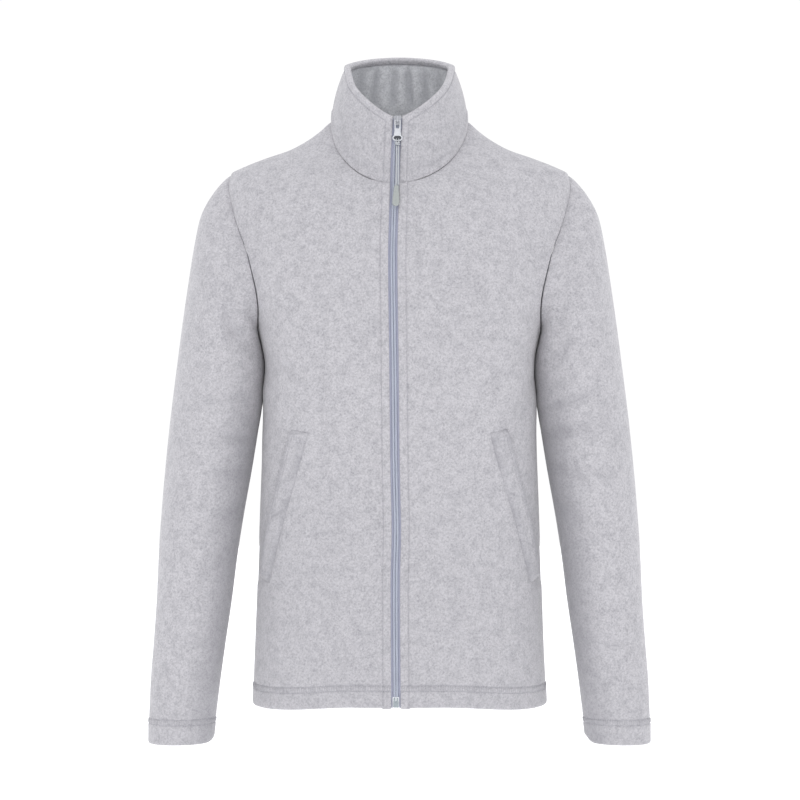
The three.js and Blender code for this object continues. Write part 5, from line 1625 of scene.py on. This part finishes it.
def make_hitch():
    """The cord passes twice through the ring and is bound by two flat turns."""
    x, y = RING_FOOT[0], HINGE[1]
    foot = RING_FOOT[2]
    parts = []
    for side in (-1.45, 1.45):
        loop = [(x + side * 0.86, y - 1.5, foot - 3.6), (x + side * 0.95, y - 1.72, foot - 1.2),
                (x + side, y - 1.78, foot + 0.5), (x + side, y - 1.2, foot + 2.35), (x + side, y + 0.2, foot + 2.8), (x + side, y + 1.5, foot + 1.7),
                (x + side * 0.95, y + 1.3, foot - 0.6), (x + side * 0.8, y + 0.1, foot - 3.2)]
        parts.append(tube(spline_through(loop, 6), 0.7, 12, out=(1, 0, 0)))
    turns = np.arange(40) * math.tau / 40
    middle_y = RING_FOOT[1] + 0.1
    for drop, slant in ((1.7, 0.35), (3.4, -0.3)):
        wrap = [(x + (HITCH_HALF_WIDTH - 0.75) * math.cos(t), middle_y + (HITCH_HALF_DEPTH - 0.55) * math.sin(t),
                 foot - drop + slant * math.cos(t)) for t in turns]
        parts.append(loop_tube(wrap, 0.86, 12, out=(0, 0, 1)))
    points, faces = joined(parts)
    return hard_piece("cord_hitch", points, faces, CORD, "pull_hitch")


GRIP_RIBS = (17.2, 19.2, 21.2)


def make_grip():
    """A flat moulded grip, narrow where the strands go in and round at its foot."""
    across = unit(np.array([1.0, 0, 0]) - GRIP_DOWN * GRIP_DOWN[0])
    out = np.cross(across, GRIP_DOWN)
    if out[1] > 0:
        out = -out
    along = np.concatenate([
        [0, .15, .4, .8, 1.4, 2.2], np.linspace(3.2, 22.2, 42),
        [23.2, 24.1, 24.8, 25.3, 25.65, 25.85, 25.96, GRIP_LENGTH],
    ])
    side_foot = np.sqrt(np.maximum(0.02, 1 - np.clip((along - 22.0) / 4.02, 0, 1) ** 2.4))
    face_foot = np.sqrt(np.maximum(0.02, 1 - np.clip((along - 22.6) / 3.42, 0, 1) ** 2.2))
    half = mix(2.9, 4.15, smooth(1, 20, along)) * side_foot
    half = half * np.sqrt(np.maximum(0.2, 1 - np.clip((0.9 - along) / 1.0, 0, 1) ** 2))
    deep = mix(1.75, 2.25, smooth(0, 12, along)) * face_foot
    ribs = 0.2 * sum(ridge(along, place, 0.55) for place in GRIP_RIBS)
    waist = 0.35 * ridge(along, 3.4, 0.7)
    sides = 40
    turns = np.arange(sides) * math.tau / sides
    shape_x = np.sign(np.cos(turns)) * np.abs(np.cos(turns)) ** 0.62
    shape_y = np.sign(np.sin(turns)) * np.abs(np.sin(turns)) ** 0.62
    ring_x = (half - waist)[:, None] * shape_x[None]
    on_front = (shape_y > 0.5)[None] * (np.abs(shape_x) < 0.8)[None]
    ring_y = (deep - waist * 0.6)[:, None] * shape_y[None] - ribs[:, None] * on_front
    points = GRIP_TOP + GRIP_DOWN * along[:, None, None] + across * ring_x[..., None] + out * ring_y[..., None]
    points = points.reshape(-1, 3)
    faces = ring_faces(len(along), sides) + end_faces(len(points), sides)
    return hard_piece("moulded_grip", points, faces, GRIP, "pull_grip")


# The strands come from their exit at the hitch and end in the grip
def make_strand(side_x, name):
    route = cord_route(side_x)
    fine = spline_through(route, 4)
    sides = 20
    points, faces = tube(fine, CORD_DIAMETER / 2, sides, out=(1, 0, 0))
    turns = np.arange(sides) * math.tau / sides
    run = run_length(fine[:, None], 0)[:, 0]
    twist = np.sin(2 * turns[None] + run[:, None] * 2.4) * np.sin(2 * turns[None] - run[:, None] * 2.4)
    ring = points[:len(fine) * sides].reshape(len(fine), sides, 3)
    ring = fine[:, None] + (ring - fine[:, None]) * (0.97 + 0.05 * twist[..., None])
    points = np.concatenate([ring.reshape(-1, 3), points[len(fine) * sides:]])
    piece = hard_piece(name, points, faces, CORD, of_side("pull_cord", side_x))


def make_zip_box():
    """The separating box at the zip's foot, with its pin's groove and the stiffened tape ends."""
    place = wander(body_at_x(0.0, HEM_Z + 0.6, -1))
    parts = [soft_box([-3.4, -0.2, 0], [3.4, 3.4, 7.4], 0.7, 4)]
    parts.append(soft_box([-3.2, 0.0, 7.0], [-0.25, 3.0, 11.5], 0.5, 3))
    parts.append(soft_box([0.35, 0.0, 7.0], [3.2, 3.0, 11.5], 0.5, 3))
    parts.append(soft_box([-0.35, -0.42, 0.9], [0.35, 0.4, 6.8], 0.2, 2))
    for z in (1.9, 5.6):
        parts.append(soft_box([-2.9, -0.36, z - 0.35], [-1.0, 0.4, z + 0.35], 0.16, 2))
        parts.append(soft_box([1.0, -0.36, z - 0.35], [2.9, 0.4, z + 0.35], 0.16, 2))
    points, faces = joined(parts)
    hard_piece("separating_box", points + place, faces, BOX, "zip_box", "jacket")


# Pocket bags, seen from inside: the front's own inner points, moved in
BAG_WALL = 1.0
BAG_TOP_Z, BAG_FOOT_Z = -352, -632
BAG_COLUMNS = np.arange(10, 62, 2)
MID_COLUMN = 30


def make_bag(side):
    inner, out = fronts[side]["inner"], fronts[side]["out"]
    level = inner[:, MID_COLUMN, 2]
    rows = np.where((level > BAG_FOOT_Z) & (level < BAG_TOP_Z))[0][::2]
    face, way = inner[np.ix_(rows, BAG_COLUMNS)], out[np.ix_(rows, BAG_COLUMNS)]
    name = of_side("pocket_bag", side)
    return cloth_piece("cloth_" + name, face - way * SEAM_GAP, face - way * (SEAM_GAP + BAG_WALL), 0.0, name)


tapes = {side: make_tape(side) for side in (1, -1)}
make_coil()
make_slider()
make_pull()
hitch = make_hitch()
grip = make_grip()
for side in (1, -1):
    make_strand(side * CORD_SPREAD, of_side("cord_strand", side))
make_zip_box()
bags = {side: make_bag(side) for side in (1, -1)}


# Sewing lines
def level_line(grid, out, row, lift, columns=slice(None)):
    return grid[row, columns] + out[row, columns] * lift, out[row, columns]


def line_at(grid, out, field, value, lift):
    """The line across a grid's columns where a field takes a value; the field falls or rises along each column."""
    points, ways = [], []
    for k in range(grid.shape[1]):
        column = field[:, k]
        order = np.argsort(column)
        place = [np.interp(value, column[order], grid[order, k, axis]) for axis in range(3)]
        way = [np.interp(value, column[order], out[order, k, axis]) for axis in range(3)]
        points.append(np.array(place) + np.array(way) * lift)
        ways.append(way)
    return np.array(points), unit(np.array(ways))


# The grid rows of a body panel on which the hem's two rows of stitches run
HEM_ROWS = (15, 23)


def sew_hem():
    rows, ladder = [], []
    for part, columns in ((fronts[1], slice(1, -4)), (fronts[-1], slice(1, -4)), (back, slice(1, -1))):
        for row in HEM_ROWS:
            rows.append(level_line(part["outer"], part["out"], row, 0.1, columns))
        middle = (HEM_ROWS[0] + HEM_ROWS[1]) // 2
        ladder.append(level_line(part["outer"], part["out"], middle, -0.05, columns))
    sewn("hem_stitches", rows)
    sewn("hem_cross_threads", ladder, pitch=2.9, along=0.6, across=5.6, deep=0.5, thread=THREAD_IN_PAINTED_SHADE)


def sew_cuffs():
    for side, name in ((1, "left"), (-1, "right")):
        part = sleeves[side]
        rows = []
        for rise in CUFF_STITCH_RISE:
            row = int(np.argmin(np.abs(part["rise"] - rise)))
            points, out = level_line(part["outer"], part["out"], row, 0.1)
            rows.append((np.vstack([points, points[:1]]), np.vstack([out, out[:1]])))
        row = int(np.argmin(np.abs(part["rise"] - sum(CUFF_STITCH_RISE) / 2)))
        points, out = level_line(part["outer"], part["out"], row, -0.05)
        sewn("cuff_stitches_" + name, rows)
        sewn("cuff_cross_threads_" + name, [(points, out)], pitch=2.9, along=0.45, across=5.6, deep=0.5,
             thread=THREAD_IN_PAINTED_SHADE)


def sew_front():
    runs = []
    for side in (1, -1):
        part = fronts[side]
        column = part["zip_column"] + int(np.argmin(np.abs(STRIP_X - ZIP_STITCH_X)))
        runs.append((part["outer"][2:, column] + part["out"][2:, column] * 0.12, part["out"][2:, column]))
    sewn("zip_stitches", runs)


def sew_collar():
    outer, inner, out = collar["outer"], collar["inner"], collar["out"]
    clear = collar["from_zip"][-20] > collar["stitch_x"]
    start, end = np.where(clear)[0][[0, -1]]
    columns = slice(start, end + 1)
    runs = [line_at(outer[:, columns], out[:, columns], collar["to_rim"][:, columns], RIM_STITCH_DROP, 0.1)]
    runs.append(line_at(inner[:, columns], -out[:, columns], collar["to_rim"][:, columns], RIM_STITCH_DROP, 0.1))
    for half in (slice(0, 40), slice(-40, None)):
        grid, way = outer[:, half].transpose(1, 0, 2), out[:, half].transpose(1, 0, 2)
        field = collar["from_zip"][:, half].T
        points, ways = line_at(grid, way, field, collar["stitch_x"], 0.1)
        rim = collar["to_rim"][:, half].min(1)
        keep = (rim > RIM_STITCH_DROP) & (collar["up"][:, half].max(1) > 1.5)
        runs.append((points[keep], ways[keep]))
    sewn("collar_stitches", runs)


def sew_pockets():
    for side, name in ((1, "left"), (-1, "right")):
        part = welts[side]
        outer, out = part["outer"], part["out"]
        across = run_length(outer, 1)
        from_edge = (across[:, -1:] - across)
        runs = []
        for inset in WELT_STITCHES:
            grid, way, field = (item.swapaxes(0, 1) for item in (outer, out, from_edge))
            points, ways = line_at(grid, way, field, inset, 0.05)
            runs.append((points[6:-6], ways[6:-6]))
        sewn("pocket_stitches_" + name, runs, across=0.5, deep=0.4)
        bars = []
        for row in (5, 7, -6, -8):
            bars.append((outer[row, 3:-3] + out[row, 3:-3] * 0.1, out[row, 3:-3]))
        sewn("pocket_bars_" + name, bars, pitch=1.6, along=1.5, across=0.6, deep=0.5)


sew_hem()
sew_cuffs()
sew_front()
sew_collar()
sew_pockets()


# Floor, light and air
FLOOR_Z, FLOOR_HALF = -1060.0, 9000
AIR_LIGHT, SEEN_AIR = 0.95, 1.02
LIGHTS = [
    ("key_light", (-1.6, -2.6, 1.5), (0, 0, -0.35), (1.8, 1.8), 7.5),
    ("fill_light", (1.6, -2.6, 1.3), (0, 0, -0.35), (1.8, 1.8), 6.5),
    ("top_light", (0, -0.3, 2.2), (0, 0, -0.3), (2.4, 1.6), 12),
]


def set_studio():
    corners = [(x * FLOOR_HALF, y * FLOOR_HALF, FLOOR_Z) for x, y in ((-1, -1), (1, -1), (1, 1), (-1, 1))]
    floor = add_mesh("floor", corners, [(0, 1, 2, 3)], None)
    material, tree, shader = new_material("pale_floor", Roughness=0.9)
    shader.inputs["Base Color"].default_value = (0.94, 0.94, 0.94, 1)
    shader.inputs["Emission Color"].default_value = (1, 1, 1, 1)
    shader.inputs["Emission Strength"].default_value = 0.45
    floor.data.materials.append(material)
    scene.view_settings.view_transform = "Standard"
    world = bpy.data.worlds.new("studio_air")
    world.use_nodes = True
    scene.world = world
    tree = world.node_tree
    seen, felt = tree.nodes["Background"], tree.nodes.new("ShaderNodeBackground")
    seen.inputs["Strength"].default_value = SEEN_AIR
    seen.inputs["Color"].default_value = (1, 1, 1, 1)
    felt.inputs["Color"].default_value = (0.97, 0.98, 1, 1)
    felt.inputs["Strength"].default_value = AIR_LIGHT
    choose = tree.nodes.new("ShaderNodeMixShader")
    tree.links.new(tree.nodes.new("ShaderNodeLightPath").outputs["Is Camera Ray"], choose.inputs[0])
    tree.links.new(felt.outputs[0], choose.inputs[1])
    tree.links.new(seen.outputs[0], choose.inputs[2])
    tree.links.new(choose.outputs[0], tree.nodes["World Output"].inputs[0])
    for name, place, aim, size, power in LIGHTS:
        data = bpy.data.lights.new(name, "AREA")
        data.shape = "RECTANGLE"
        data.size, data.size_y = size
        data.energy = power
        light = bpy.data.objects.new(name, data)
        light.location = place
        light.rotation_euler = (Vector(aim) - Vector(place)).to_track_quat("-Z", "Y").to_euler()
        scene.collection.objects.link(light)


set_studio()
